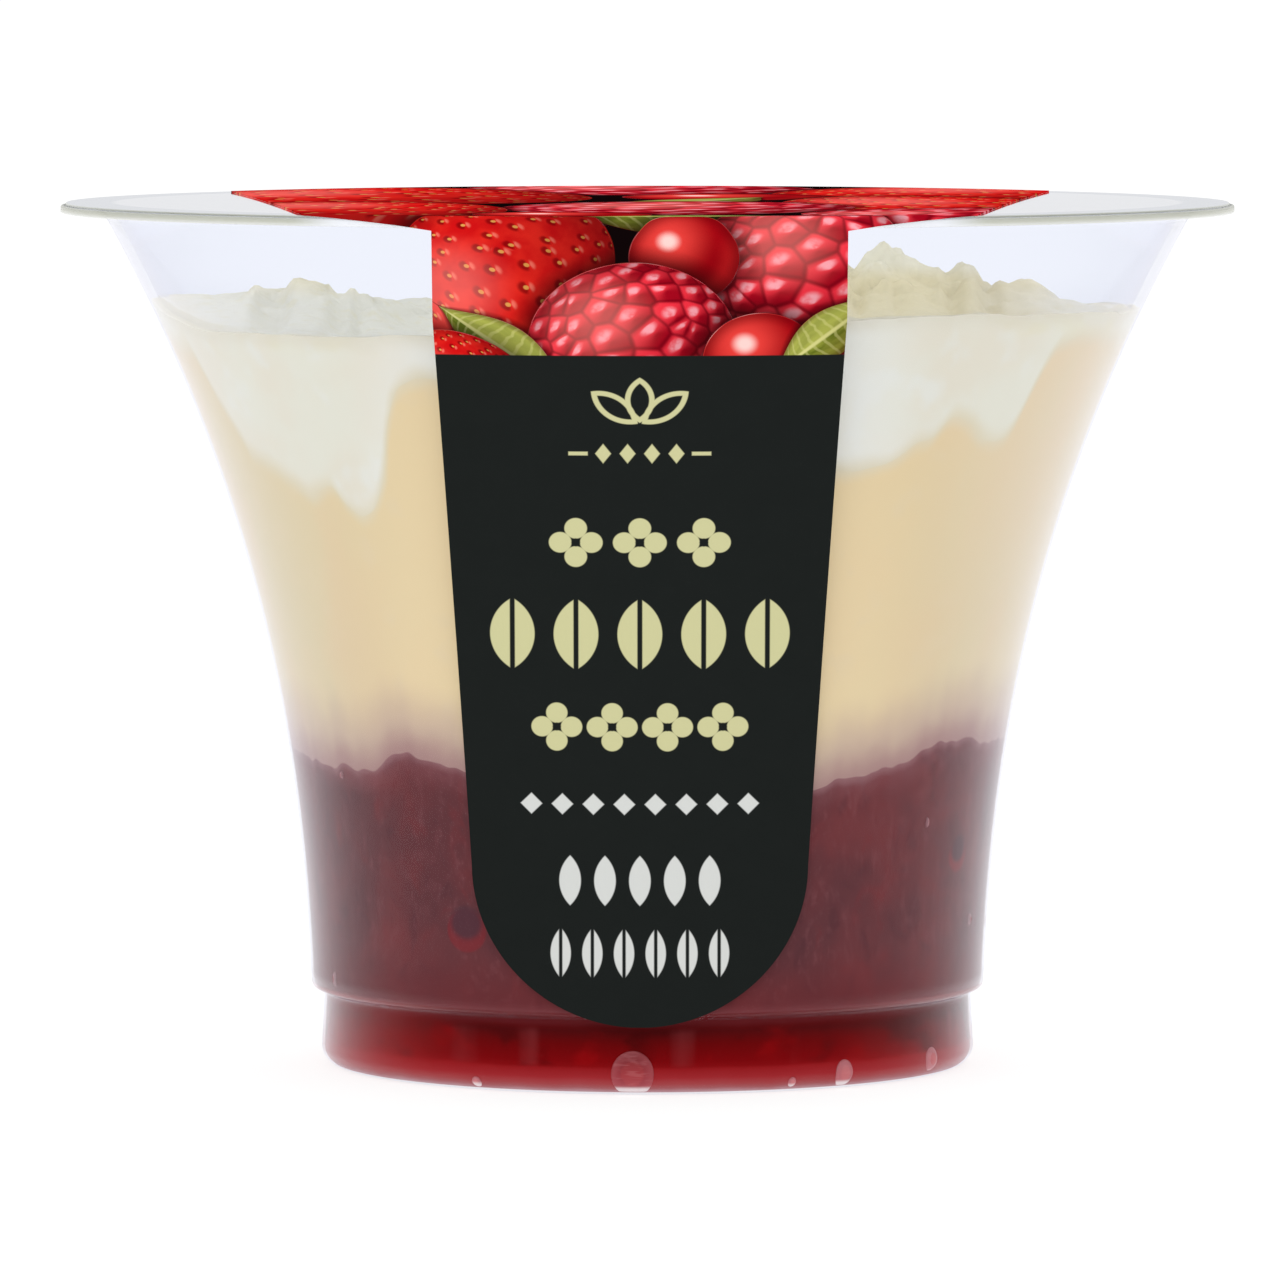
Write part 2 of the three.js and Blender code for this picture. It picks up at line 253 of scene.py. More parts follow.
class Finish:
    """A material under construction."""

    def __init__(self, name):
        self.material = bpy.data.materials.new(name)
        self.material.use_nodes = True
        self.tree = self.material.node_tree
        self.tree.nodes.clear()

    def node(self, kind, settings=None, sockets=None, out=0):
        made = self.tree.nodes.new(kind)
        for name, value in (settings or {}).items():
            setattr(made, name, value)
        for key, value in (sockets or {}).items():
            if isinstance(value, Wire):
                self.tree.links.new(value.socket, made.inputs[key])
            else:
                made.inputs[key].default_value = value
        return Wire(self, made.outputs[out]) if made.outputs else None

    def also(self, wire, out):
        """Another output of the node that a wire comes from."""
        return Wire(self, wire.socket.node.outputs[out])

    def blend(self, share, first, second, kind="MIX"):
        settings = {"data_type": "RGBA", "blend_type": kind}
        return self.node("ShaderNodeMix", settings, {0: share, 6: first, 7: second}, 2)

    def coats(self, colour, *over):
        """Colours laid over a first one in turn. Each gives its share, then its red, green and blue."""
        for share, *shade in over:
            colour = self.blend(share, colour, rgb(*shade))
        return colour

    def graded(self, value, *stops):
        """Colours along a value from 0 to 1. Each stop gives its place, then its red, green and blue."""
        made = self.node("ShaderNodeValToRGB", sockets={"Fac": value})
        elements = made.socket.node.color_ramp.elements
        while len(elements) < len(stops):
            elements.new(1.0)
        for element, (place, *shade) in zip(elements, stops):
            element.position = place
            element.color = rgb(*shade)
        return made

    def choose(self, share, first, second):
        return self.node("ShaderNodeMix", {"data_type": "VECTOR"}, {0: share, 4: first, 5: second}, 1)

    def object_place(self):
        """Place on the piece in millimetres."""
        place = self.node("ShaderNodeTexCoord", out="Object")
        settings = {"operation": "SCALE"}
        return self.node("ShaderNodeVectorMath", settings, {0: place, "Scale": 1000.0})

    def split(self, vector):
        x = self.node("ShaderNodeSeparateXYZ", sockets={0: vector})
        return x, self.also(x, 1), self.also(x, 2)

    def join(self, x=0.0, y=0.0, z=0.0):
        return self.node("ShaderNodeCombineXYZ", sockets={0: x, 1: y, 2: z})

    def stretched(self, vector, scale, location=(0, 0, 0)):
        sockets = {"Vector": vector, "Scale": scale, "Location": location}
        return self.node("ShaderNodeMapping", sockets=sockets)

    def cloud(self, vector, scale, detail=3.0, roughness=0.5, distortion=0.0):
        sockets = {"Vector": vector, "Scale": scale, "Detail": detail}
        sockets |= {"Roughness": roughness, "Distortion": distortion}
        return self.node("ShaderNodeTexNoise", sockets=sockets)

    def cells(self, vector, scale, randomness=1.0, feature="F1"):
        """Distances in a flat pattern of cells."""
        settings = {"feature": feature, "voronoi_dimensions": "2D"}
        sockets = {"Vector": vector, "Scale": scale, "Randomness": randomness}
        return self.node("ShaderNodeTexVoronoi", settings, sockets, "Distance")

    def stored(self, name):
        """A number kept at the corners."""
        return self.node("ShaderNodeAttribute", {"attribute_name": name}, out="Fac")

    def bump(self, height, distance, strength=1.0):
        sockets = {"Height": height, "Distance": distance, "Strength": strength}
        return self.node("ShaderNodeBump", sockets=sockets, out="Normal")

    def plain(self, **sockets):
        """A Principled shader with sockets given by name, spaces written as underscores."""
        named = {key.replace("_", " "): value for key, value in sockets.items()}
        return self.node("ShaderNodeBsdfPrincipled", sockets=named)

    def clear(self, *shade):
        return self.node("ShaderNodeBsdfTransparent", sockets={"Color": rgb(*shade)})

    def gloss(self, roughness, *shade):
        return self.node("ShaderNodeBsdfGlossy", sockets={"Color": rgb(*shade), "Roughness": roughness})

    def both(self, share, first, second):
        """Two shaders, the second by its share."""
        return self.node("ShaderNodeMixShader", sockets={0: share, 1: first, 2: second})

    def painted(self, **sockets):
        return self.done(self.plain(**sockets))

    def done(self, shader):
        self.node("ShaderNodeOutputMaterial", sockets={"Surface": shader})
        return self.material


def hypot(x, y):
    """How far a place given by two wires lies from 0, 0."""
    return (x * x + y * y) ** 0.5


def rgb(red, green, blue):
    """A colour given as it is seen on screen, 0 to 255, in the renderer's own numbers."""
    made = []
    for part in (red, green, blue):
        part /= 255
        made.append(part / 12.92 if part <= 0.04045 else ((part + 0.055) / 1.055) ** 2.4)
    return (*made, 1.0)


# ------------------------------------------------------------------ the camera and the light

CAMERA_AT = Vector((0.0, -889.0 * MM, 94.54 * MM))
CAMERA_TO = Vector((-0.61 * MM, 0.0, 34.4 * MM))
LENS = 308.4
SENSOR = 36.0

PURE_WHITE = (1.0, 1.0, 1.0, 1.0)
SKY = 0.86
LAMPS_AIM = (0, 0, 0.03)
LAMPS = [  # name, width in metres, watts, place
    ("lamp_left", 0.5, 0.7, (-0.6, -0.45, 0.3)),
    ("lamp_right", 0.5, 0.5, (0.65, -0.3, 0.25)),
    ("lamp_top", 0.6, 1.4, (0.05, 0.3, 0.8)),
    ("lamp_front", 0.6, 0.9, (-0.15, -1.0, 0.55)),
]
GLOW_WIDTH = 84 * MM
GLOW_WATTS = 0.0128
GROUND_WIDTH = 60.0


def aimed(name, data, at, to):
    """A camera or a lamp at one place, turned towards another."""
    made = bpy.data.objects.new(name, data)
    bpy.context.scene.collection.objects.link(made)
    made.location = at
    made.rotation_euler = (Vector(to) - Vector(at)).to_track_quat("-Z", "Y").to_euler()
    return made


def make_camera():
    data = bpy.data.cameras.new("camera")
    data.lens = LENS
    data.sensor_width = SENSOR
    data.clip_start = 0.05
    data.clip_end = 60.0
    bpy.context.scene.camera = aimed("camera", data, CAMERA_AT, CAMERA_TO)


def make_lamp(name, size, power, at, to):
    data = bpy.data.lights.new(name, "AREA")
    data.shape = "DISK"
    data.size = size
    data.energy = power
    return aimed(name, data, at, to)


def make_studio():
    world = bpy.data.worlds.new("studio")
    bpy.context.scene.world = world
    world.use_nodes = True
    sky = world.node_tree.nodes["Background"]
    sky.inputs["Color"].default_value = PURE_WHITE
    sky.inputs["Strength"].default_value = SKY
    for name, width, watts, place in LAMPS:
        make_lamp(name, width, watts, place, LAMPS_AIM)
    # stands for the light that soft cream passes on from above, where the card would shade it
    under_film = (0, 0, RIM_TOP - 0.4 * MM)
    glow = make_lamp("light_through_the_cream", GLOW_WIDTH, GLOW_WATTS, under_film, (0, 0, 0))
    glow.visible_camera = glow.visible_glossy = False

    deselect()
    bpy.ops.mesh.primitive_plane_add(size=GROUND_WIDTH, location=(0, 0, 0))
    ground = settle(bpy.context.object, "studio_floor")
    paint = Finish("pale_floor")
    painted = paint.painted(
        Base_Color=(0.35, 0.35, 0.35, 1.0),
        Roughness=0.9,
        Specular_IOR_Level=0.0,
        Emission_Color=PURE_WHITE,
        Emission_Strength=0.75,
    )
    ground.data.materials.append(painted)
    view = bpy.context.scene.view_settings
    view.view_transform = "Standard"
    view.look = "None"


# ------------------------------------------------------------------ the pot


def pot_outside():
    """The outer face from the middle of the underside up to the rim's underside."""
    foot = arc(CONTACT_RADIUS, FOOT_CORNER, FOOT_CORNER, -90, 0, 12)
    ledge = STEP_HEIGHT + 0.15 * MM
    step = [
        (FOOT_TOP_RADIUS, STEP_HEIGHT - 0.6 * MM),
        (FOOT_TOP_RADIUS + 0.02 * MM, STEP_HEIGHT - 0.3 * MM),
        (FOOT_TOP_RADIUS + 0.08 * MM, STEP_HEIGHT - 0.1 * MM),
        (FOOT_TOP_RADIUS + 0.22 * MM, STEP_HEIGHT + 0.05 * MM),
        (FLARE_RADIUS - 0.6 * MM, ledge - 0.03 * MM),
    ]
    corner = arc(FLARE_RADIUS - 0.6 * MM, ledge + 0.5 * MM, 0.5 * MM, -80, -8, 6)
    body = []
    steps = 64
    for i in range(steps + 1):
        z = mix(FLARE_START - 0.4 * MM, FLARE_END, i / steps)
        body.append((body_radius(z), z))
    top = body_radius(FLARE_END)
    under_rim = [
        (top + 0.25 * MM, FLARE_END + 0.42 * MM),
        (top + 0.55 * MM, FLARE_END + 0.76 * MM),
        (top + 1.0 * MM, RIM_UNDER - 0.06 * MM),
        (top + 1.5 * MM, RIM_UNDER),
    ]
    return [(0.0, 0.0), (INNER_RING, 0.0), *foot, *step, *corner, *body, *under_rim]


def pot_inside():
    """The inner face from the mouth down to the middle of the floor."""
    mouth = body_radius(FLARE_END)
    made = [
        (mouth + 0.9 * MM, RIM_TOP),
        (mouth + 0.3 * MM, RIM_TOP - 0.1 * MM),
        (mouth - 0.2 * MM, RIM_TOP - 0.45 * MM),
        (mouth - 0.6 * MM, RIM_TOP - 1.0 * MM),
    ]
    steps = 48
    for i in range(steps + 1):
        z = mix(FLARE_END, FLARE_START + 0.9 * MM, i / steps)
        made.append((body_radius(z) - WALL, z))
    made += [
        (FLARE_RADIUS - WALL - 0.1 * MM, STEP_HEIGHT + 1.4 * MM),
        (FOOT_TOP_RADIUS - WALL + 0.1 * MM, STEP_HEIGHT + 0.9 * MM),
        (FOOT_TOP_RADIUS - WALL, STEP_HEIGHT + 0.4 * MM),
    ]
    corner = FOOT_CORNER - 0.6 * MM
    made += arc(CONTACT_RADIUS - 0.3 * MM, FLOOR + corner, corner, 0, -90, 8)
    return [*made, (INNER_RING, FLOOR), (0.0, FLOOR)]


def make_pot():
    ease = 0.14 * MM
    rim = arc(RIM_RADIUS - ease, RIM_UNDER + ease, ease, -90, 0, 4)
    rim += arc(RIM_RADIUS - ease, RIM_TOP - ease, ease, 0, 90, 4)
    profile = [*pot_outside(), *rim, *pot_inside()]
    return turned("pot_body", profile, POT_TURNS)


def rim_edge_painted_shade(made, x, y, z):
    """Painted shade of the rim seen edge on, for light bent through the clear plastic: darkest along its
    middle, paler above and below, and painted lighter where the label folds over, against the card's shadow.
    """
    edge_on_painted_shade = made.graded(
        z.spread(RIM_UNDER / MM, FILM_HIGH.z / MM),
        (0.0, 224, 226, 221),
        (0.18, 204, 205, 196),
        (0.36, 184, 185, 169),
        (0.64, 170, 172, 157),
        (0.86, 176, 179, 168),
        (1.0, 206, 209, 205),
    )
    painted_light_under_fold = abs(x - CARD_OFFSET / MM).between(27.5, 22.5) * y.between(-20.0, -30.0)
    return made.coats(edge_on_painted_shade, (painted_light_under_fold * 0.9, 236, 239, 246))


def clear_pot():
    """Clear moulded plastic: it lets the food through and catches white light where it turns away."""
    made = Finish("clear_pot")
    x, y, z = made.split(made.object_place())
    radius = hypot(x, y)
    turn = made.node("ShaderNodeLayerWeight", sockets={"Blend": 0.5}, out="Facing")
    # the empty wall over the cream shines along its sides alone, the rest a little further in
    empty = z.between(60.5, 64.0)
    gloss = turn ** (empty * 2.5 + 4.0) * (empty * 0.47 + 0.95)
    corner = z.between(7.9, 7.0) * z.between(6.3, 6.7)
    gloss_share = (gloss + corner * turn**2.0 * 0.15).least(1.0)
    # neither the foot's lowest edge nor the very outline shines
    gloss_share = gloss_share * z.between(0.1, 1.2) * turn.between(0.99, 0.92)
    skin = made.both(gloss_share, made.clear(249.6, 250.5, 253.2), made.gloss(0.12, 246, 246, 251))
    # seen edge on, the rim is solid in its painted shade, and the ledge over the foot is so in part, as a
    # painted pink highlight line, stronger towards the sides and the outline
    rim = radius.between(47.2, 47.4)
    ledge = z.between(6.3, 6.48) * z.between(6.95, 6.7) * radius.between(26.2, 26.6)
    aside = abs(x).between(14.0, 25.0)
    thick = (rim * 0.88).most(ledge * (turn * 0.14 + aside * 0.12))
    painted_edge_light = made.coats(rim_edge_painted_shade(made, x, y, z), (z.between(30.0, 20.0), 214, 148, 152))
    solid = made.plain(Base_Color=painted_edge_light, Roughness=0.25, Specular_IOR_Level=0.2)
    return made.done(made.both(thick, skin, solid))


# ------------------------------------------------------------------ the lid film


def make_film():
    top = FILM_HIGH.z
    low = FILM_LOW.z + 0.02 * MM
    radius = FILM_HIGH.x
    ease = 0.05 * MM
    profile = [(0.0, low), (radius * 0.5, low), (radius - ease, low), (radius, low + ease)]
    profile += [(radius, top - ease), (radius - ease, top), (radius * 0.5, top), (0.0, top)]
    return turned("lid_sheet", profile, POT_TURNS)


def clear_film():
    """Clear film, stretched flat over the mouth and a little duller where it is sealed to the rim."""
    made = Finish("clear_film")
    x, y, z = made.split(made.object_place())
    radius = hypot(x, y)
    turn = made.node("ShaderNodeLayerWeight", sockets={"Blend": 0.5}, out="Facing")
    sealed = radius.between(42.9, 43.6)
    shine = made.both(sealed, made.gloss(0.05, 249, 250, 253), made.gloss(0.05, 239, 241, 245))
    skin = made.both(turn**3.0 * 1.05 + 0.03, made.clear(250, 251, 254), shine)
    # its cut edge is solid, in the rim's painted shade
    solid = made.plain(Base_Color=rim_edge_painted_shade(made, x, y, z), Roughness=0.25, Specular_IOR_Level=0.2)
    last = FILM_HIGH.x / MM
    return made.done(made.both(radius.between(last - 0.12, last - 0.04) * 0.9, skin, solid))


# ------------------------------------------------------------------ the label


def card_top():
    return FILM_HIGH.z + CARD_SEAM + CARD


def tongue_half(z):
    return mix(TONGUE_HALF, END_HALF, clamp((TAPER_START - z) / (TAPER_START - END_START)))


def tongue_radius(z):
    """Inner radius of the tongue: on the wall at the bottom, out at the rim at the top."""
    on_wall = body_radius(z) + CARD_CLEAR
    reach = BEND_CENTRE + BEND_INNER - (body_radius(ROOT) + CARD_CLEAR)
    return on_wall + reach * clamp((z - LIFT_START) / (ROOT - LIFT_START))


def shoulder_half(z):
    drop = (card_top() - z) / (card_top() - ROOT)
    return mix(CARD_FRONT_HALF, TONGUE_HALF, clamp(drop) ** SHOULDER_CURVE)


def hanging(radius, z, half):
    """A row of the label that lies on a circle about the pot's axis."""

    def at(across):
        x = CARD_OFFSET + across * half
        return Vector((x, -math.sqrt(max(radius**2 - x**2, 0.0)), z))

    return at


def lid_row(share, z):
    half = mix(CARD_BACK_HALF, CARD_FRONT_HALF, share)

    def at(across):
        x = CARD_OFFSET + across * half
        back = math.sqrt(CARD_BACK_RADIUS**2 - x**2)
        front = -math.sqrt(BEND_CENTRE**2 - x**2)
        return Vector((x, mix(back, front, share), z))

    return at


LID_ROWS = 36
BEND_ANGLES = range(8, 89, 8)
TONGUE_ROWS = 100
END_ROWS = 30
END_TURN = 87  # degrees of the round end, which leaves a last row of some width


def label_rows():
    """Rows of the label's outer face, from its back edge on the lid to the end of its tongue."""
    outer = BEND_INNER + CARD
    bend_z = card_top() - outer
    rows = [lid_row(i / LID_ROWS, card_top()) for i in range(LID_ROWS + 1)]
    for angle in BEND_ANGLES:
        turn = math.radians(angle)
        z = bend_z + outer * math.cos(turn)
        rows.append(hanging(BEND_CENTRE + outer * math.sin(turn), z, shoulder_half(z)))
    for i in range(TONGUE_ROWS + 1):
        z = mix(ROOT, END_START, i / TONGUE_ROWS)
        rows.append(hanging(tongue_radius(z) + CARD, z, tongue_half(z)))
    for i in range(1, END_ROWS + 1):
        turn = math.radians(END_TURN * i / END_ROWS)
        z = END_START - END_DROP * math.sin(turn)
        rows.append(hanging(tongue_radius(z) + CARD, z, END_HALF * math.cos(turn)))
    return rows


COLUMNS = 48
PRINT_SPAN = 200.0  # millimetres of card along each side of the print's own map
PRINT_LOW = 70.0  # millimetres below the root that the map starts


def lengths_down(rows):
    """How far each row lies from the root along the card's middle, above it positive, and the middles."""
    middles = [row(0.0) for row in rows]
    along = [0.0]
    for here, there in zip(middles, middles[1:]):
        along.append(along[-1] - (there - here).length)
    root = min(range(len(rows)), key=lambda i: (abs(middles[i].z - ROOT), i))
    return [value - along[root] for value in along], middles


def make_label(printed, bare):
    """The card, printed on its outer face and bare on its back."""
    rows = label_rows()
    along, _ = lengths_down(rows)
    deselect()
    bpy.ops.mesh.primitive_grid_add(x_subdivisions=COLUMNS, y_subdivisions=len(rows) - 1, size=2.0)
    piece = settle(bpy.context.object, "card_label")
    grid = corners(piece)
    across = grid[:, 0]
    row_of = np.rint((1 - grid[:, 1]) / 2 * (len(rows) - 1)).astype(int)
    places = [rows[r](a) for r, a in zip(row_of, across)]
    move_corners(piece, [tuple(p) for p in places])
    sheet = piece.data.uv_layers[0]
    sheet.name = "print"
    for loop in piece.data.loops:
        v = loop.vertex_index
        u = 0.5 + (places[v].x - CARD_OFFSET) / MM / PRINT_SPAN
        w = (along[row_of[v]] / MM + PRINT_LOW) / PRINT_SPAN
        sheet.data[loop.index].uv = (u, w)
    face_outwards()
    lid_face = max(piece.data.polygons, key=lambda face: face.center.y)
    if lid_face.normal.z < 0:
        piece.data.flip_normals()
    piece.data.materials.append(printed)
    piece.data.materials.append(bare)
    thick = piece.modifiers.new("card", "SOLIDIFY")
    thick.thickness = CARD
    thick.offset = -1.0
    thick.use_even_offset = False
    thick.material_offset = 1
    bpy.ops.object.modifier_apply(modifier="card")
    bpy.ops.object.shade_smooth_by_angle(angle=math.radians(50))
    return piece


def tongue_lengths():
    """Heights down the tongue, and how far each lies from the root along the card."""
    along, middles = lengths_down(label_rows())
    pairs = sorted((middle.z, length) for middle, length in zip(middles, along) if middle.z <= ROOT)
    return [z for z, _ in pairs], [length for _, length in pairs]


TONGUE_HEIGHTS, TONGUE_LENGTHS = tongue_lengths()


def length_at(z):
    """Where a height on the tongue lies in the print, in millimetres from the root."""
    return float(np.interp(z, TONGUE_HEIGHTS, TONGUE_LENGTHS)) / MM


# kinds of fruit in the print
STRAWBERRY, RASPBERRY, CURRANT, LEAF = 0.0, 1.0, 2.0, 3.0

# Fruit from the back of the pile to its front: kind, x, length from the root, half sizes, turn.
PRINT_LAYOUT = [
    (RASPBERRY, 0, 82, 15, 19, 10),
    (STRAWBERRY, 27, 76, 15, 25, -10),
    (STRAWBERRY, -24, 66, 19, 31, 8),
    (CURRANT, 7, 58, 8.5, 10, 0),
    (LEAF, 4, 44, 15, 4.5, 66),
    (STRAWBERRY, 25, 36, 15, 27, 10),
    (RASPBERRY, 3, 26, 14, 19, -6),
    (STRAWBERRY, -26, 20, 17, 24, -14),
    (RASPBERRY, 24, 10, 13, 11, 60),
    (CURRANT, -6, 7, 7, 7.5, 0),
    (LEAF, 3, 2.6, 9.0, 2.6, 8),
    (STRAWBERRY, -11.0, -4.6, 9.2, 8.4, 62),
    (RASPBERRY, 12.6, -4.2, 8.6, 8.2, -12),
    (CURRANT, 3.4, -2.4, 4.3, 4.2, 0),
    (RASPBERRY, -0.6, -10.4, 8.2, 7.6, 8),
    (LEAF, -10.4, -10.9, 6.6, 2.2, -38),
    (CURRANT, 9.4, -11.8, 4.6, 4.4, 0),
    (LEAF, 14.6, -9.4, 5.6, 2.0, 40),
    (STRAWBERRY, -14.8, -14.2, 6.0, 5.4, 30),
]


KIND_STEP = 0.001  # a fruit's kind travels as a tiny third part of its own coordinates


def raspberry(made, bulged):
    """Drupelets, each a small dome with a sheen towards the light."""
    near_dome = made.cells(bulged, 3.0, 0.75)
    toward = made.stretched(bulged, (1, 1, 1), (-0.05, 0.06, 0))
    lit = made.cells(toward, 3.0, 0.75) - near_dome
    creases = made.cells(bulged, 3.0, 0.75, "DISTANCE_TO_EDGE")
    grain = made.cloud(bulged, 8.0).between(0.2, 0.6)
    sheen = lit.between(0.06, 0.2) * near_dome.between(0.46, 0.2) * grain
    return made.coats(
        rgb(158, 8, 28),
        (lit.between(-0.2, 0.2), 238, 50, 66),
        (creases.between(0.12, 0.0) * 0.6, 104, 3, 18),
        (sheen * 0.75, 252, 186, 196),
    )


def strawberry(made, bulged):
    """Smooth skin with seeds, each in its dimple."""
    pitted = made.stretched(bulged, (1.25, 0.85, 1))
    seeds = made.cells(pitted, 3.7, 0.5)
    slope = made.cells(made.stretched(pitted, (1, 1, 1), (-0.03, 0.036, 0)), 3.7, 0.5) - seeds
    dimple = seeds.between(0.36, 0.2)
    return made.coats(
        rgb(204, 18, 20),
        (made.cloud(bulged, 2.2).between(0.35, 0.7), 232, 42, 32),
        (dimple * slope.between(0.0, 0.1) * 0.75, 120, 4, 8),
        (dimple * slope.between(-0.02, -0.12) * 0.6, 255, 140, 120),
        (seeds.between(0.12, 0.07) * 0.85, 232, 168, 84),
    )


def leaf_green(made, bulged, y):
    """Mottled green with a pale midrib and veins."""
    bands = {"Vector": bulged, "Scale": 1.7, "Distortion": 2.0, "Detail": 2.0}
    veins = made.node("ShaderNodeTexWave", {"bands_direction": "X"}, bands)
    return made.coats(
        rgb(94, 108, 30),
        (made.cloud(bulged, 2.0).between(0.35, 0.65), 140, 148, 56),
        (y.between(-0.06, 0.06) * 0.45, 190, 190, 96),
        (veins.between(0.7, 0.98) * 0.4, 206, 204, 128),
        (abs(y).between(0.12, 0.03), 206, 204, 130),
    )


def print_fruit(made, place):
    """Colour of the fruit pile at a place in the print, in millimetres."""
    # each fruit hides those before it and passes its own coordinates on, 1 at its outline
    chosen = (0.0, 0.0, 0.0)
    shade = 0.0
    for kind, x, s, half_x, half_s, turn in PRINT_LAYOUT:
        sockets = {
            "Vector": place,
            "Location": (x, s, -kind * KIND_STEP),
            "Rotation": (0, 0, math.radians(turn)),
            "Scale": (half_x, half_s, 1),
        }
        local = made.node("ShaderNodeMapping", {"vector_type": "TEXTURE"}, sockets)
        if kind in (STRAWBERRY, LEAF):
            px, py, pz = made.split(local)
            if kind == STRAWBERRY:
                px = px * (py * 0.3 + 1.06)
            else:
                py = py / (1.03 - px * px).most(0.03)
            local = made.join(px, py, pz)
        out = made.node("ShaderNodeVectorMath", {"operation": "LENGTH"}, {0: local}, "Value")
        inside = out.spread(1.0, 1.0 - 0.12 / half_x)
        near = out.spread(1.0, 1.0 + 1.8 / half_x, 0.25, 1.0)
        shade = inside.most(near * shade)
        chosen = made.choose(inside, chosen, local)
    x, y, kind = made.split(chosen)
    kind = kind / KIND_STEP
    out = hypot(x, y)
    round_off = out * out * 0.5 + 1
    bulged = made.join(x * round_off, y * round_off, kind * 7)  # the third tells the kinds' grains apart
    lit_side = y * 0.6 - x * 0.5  # larger towards the light, at the upper left
    glare = hypot(x + 0.28, y - 0.36)  # from the middle of a soft window of light
    currant = made.coats(
        rgb(160, 8, 18),
        (glare.between(0.9, 0.05), 232, 66, 60),
        (out.between(0.5, 0.85) * lit_side.between(0.0, -0.5) * 0.6, 226, 40, 40),
        (glare.between(0.27, 0.06) * 0.85, 255, 220, 214),
    )
    colour = made.blend(kind.between(0.4, 0.6), strawberry(made, bulged), raspberry(made, bulged))
    colour = made.blend(kind.between(1.4, 1.6), colour, currant)
    gloss = glare.between(0.7, 0.1) * kind.between(1.4, 1.2) * 0.3
    colour = made.coats(colour, (gloss, 255, 150, 142))
    colour = made.blend(kind.between(2.4, 2.6), colour, leaf_green(made, bulged, y))
    turned_away = lit_side.between(0.25, -0.75) * 0.55
    colour = made.coats(colour, (turned_away, 72, 2, 8), (out.between(0.72, 1.02) * 0.5, 66, 3, 8))
    return made.blend(shade, rgb(14, 6, 7), colour)


def print_mask(distance, soft=0.09):
    """1 inside a printed shape whose outline lies at distance 0 and fades over soft, in millimetres."""
    return (0.5 - distance / soft).most(0.0).least(1.0)


def in_row(x, count, pitch):
    """x from the middle of the nearest of a row of shapes."""
    first = -(count - 1) / 2 * pitch
    place = (x - first) / pitch + 0.5
    step = place.sum("FLOOR", place).most(0.0).least(count - 1.0)
    return x - first - step * pitch


def quatrefoil(x, y, size):
    """Four round petals about an open middle."""
    far = abs(x).most(abs(y))
    close = abs(x).least(abs(y))
    petal = hypot(far - size * 0.58, close) - size * 0.42
    middle = size * 0.17 - hypot(x, y)
    return petal.most(middle)


def leaf_shape(x, y, half_wide, half_tall):
    """An upright pointed leaf."""
    reach = (half_tall**2 + half_wide**2) / (2 * half_wide)
    return hypot(abs(x) + (reach - half_wide), y) - reach


def lozenge(x, y, half_wide, half_tall):
    steep = half_wide * half_tall / math.hypot(half_wide, half_tall)
    return (abs(x) / half_wide + abs(y) / half_tall - 1) * steep


def print_ornaments(x, s):
    """Masks of the pale gold and the pale grey ornaments. Sizes are in millimetres."""

    def level(z):
        return s - length_at(z * MM)

    # three petals over a row of lozenges between two dashes
    gold = []
    y = level(55.3)
    for turn, wide, tall in ((0, 1.15, 2.0), (52, 1.05, 2.3), (-52, 1.05, 2.3)):
        a = math.radians(turn)
        lx = x - math.sin(a) * 2.5
        ly = y + 1.2 - math.cos(a) * 1.7
        rx = lx * math.cos(a) - ly * math.sin(a)
        ry = lx * math.sin(a) + ly * math.cos(a)
        outline = leaf_shape(rx, ry, wide, tall)
        gold.append(outline.most(-0.42 - outline))
    y = level(51.5)
    gold.append(lozenge(in_row(x, 4, 1.9), y, 0.62, 0.85))
    gold.append((abs(abs(x) - 4.8) - 0.75).most(abs(y) - 0.16))
    # rows of quatrefoils above and below a row of split leaves
    gold.append(quatrefoil(in_row(x, 3, 5.0), level(44.4), 2.1))
    wide = in_row(x, 5, 5.0)
    gold.append(leaf_shape(wide, level(37.05), 1.75, 3.0).most(0.2 - abs(wide)))
    gold.append(quatrefoil(in_row(x, 4, 4.35), level(29.6), 2.0))
    # a row of eight lozenges over two rows of leaves
    small = in_row(x, 6, 2.5)
    grey = [
        lozenge(in_row(x, 8, 2.44), level(23.4), 0.85, 0.85),
        leaf_shape(in_row(x, 5, 2.75), level(17.3), 0.85, 2.0),
        leaf_shape(small, level(11.5), 0.8, 2.0).most(0.14 - abs(small)),
    ]
    masks = []
    for shapes in (gold, grey):
        nearest = shapes[0]
        for shape in shapes[1:]:
            nearest = nearest.least(shape)
        masks.append(print_mask(nearest))
    return masks


PANEL_TOP = 59.26 * MM  # height at which the fruit print ends and the dark panel begins


def printed_card():
    """The card's outer face: a pile of fruit over a dark panel with pale ornaments."""
    made = Finish("printed_card")
    sheet = made.node("ShaderNodeUVMap", {"uv_map": "print"})
    u, v, _ = made.split(sheet)
    x = (u - 0.5) * PRINT_SPAN
    s = v * PRINT_SPAN - PRINT_LOW
    place = made.join(x, s, 0.0)
    gold, grey = print_ornaments(x, s)
    panel = made.coats(
        rgb(28, 31, 30),
        (made.cloud(place, 0.4, 2.0), 30, 33, 32),
        (gold, 199, 197, 150),
        (grey, 206, 208, 205),
    )
    below = print_mask(s - length_at(PANEL_TOP), 0.08)
    grain = made.cloud(made.object_place(), 6.0, 2.0)
    return made.painted(
        Base_Color=made.blend(below, print_fruit(made, place), panel),
        Roughness=mix(0.34, 0.46, below),
        Specular_IOR_Level=0.0,
        Normal=made.bump(grain, 0.00001, 0.4),
    )


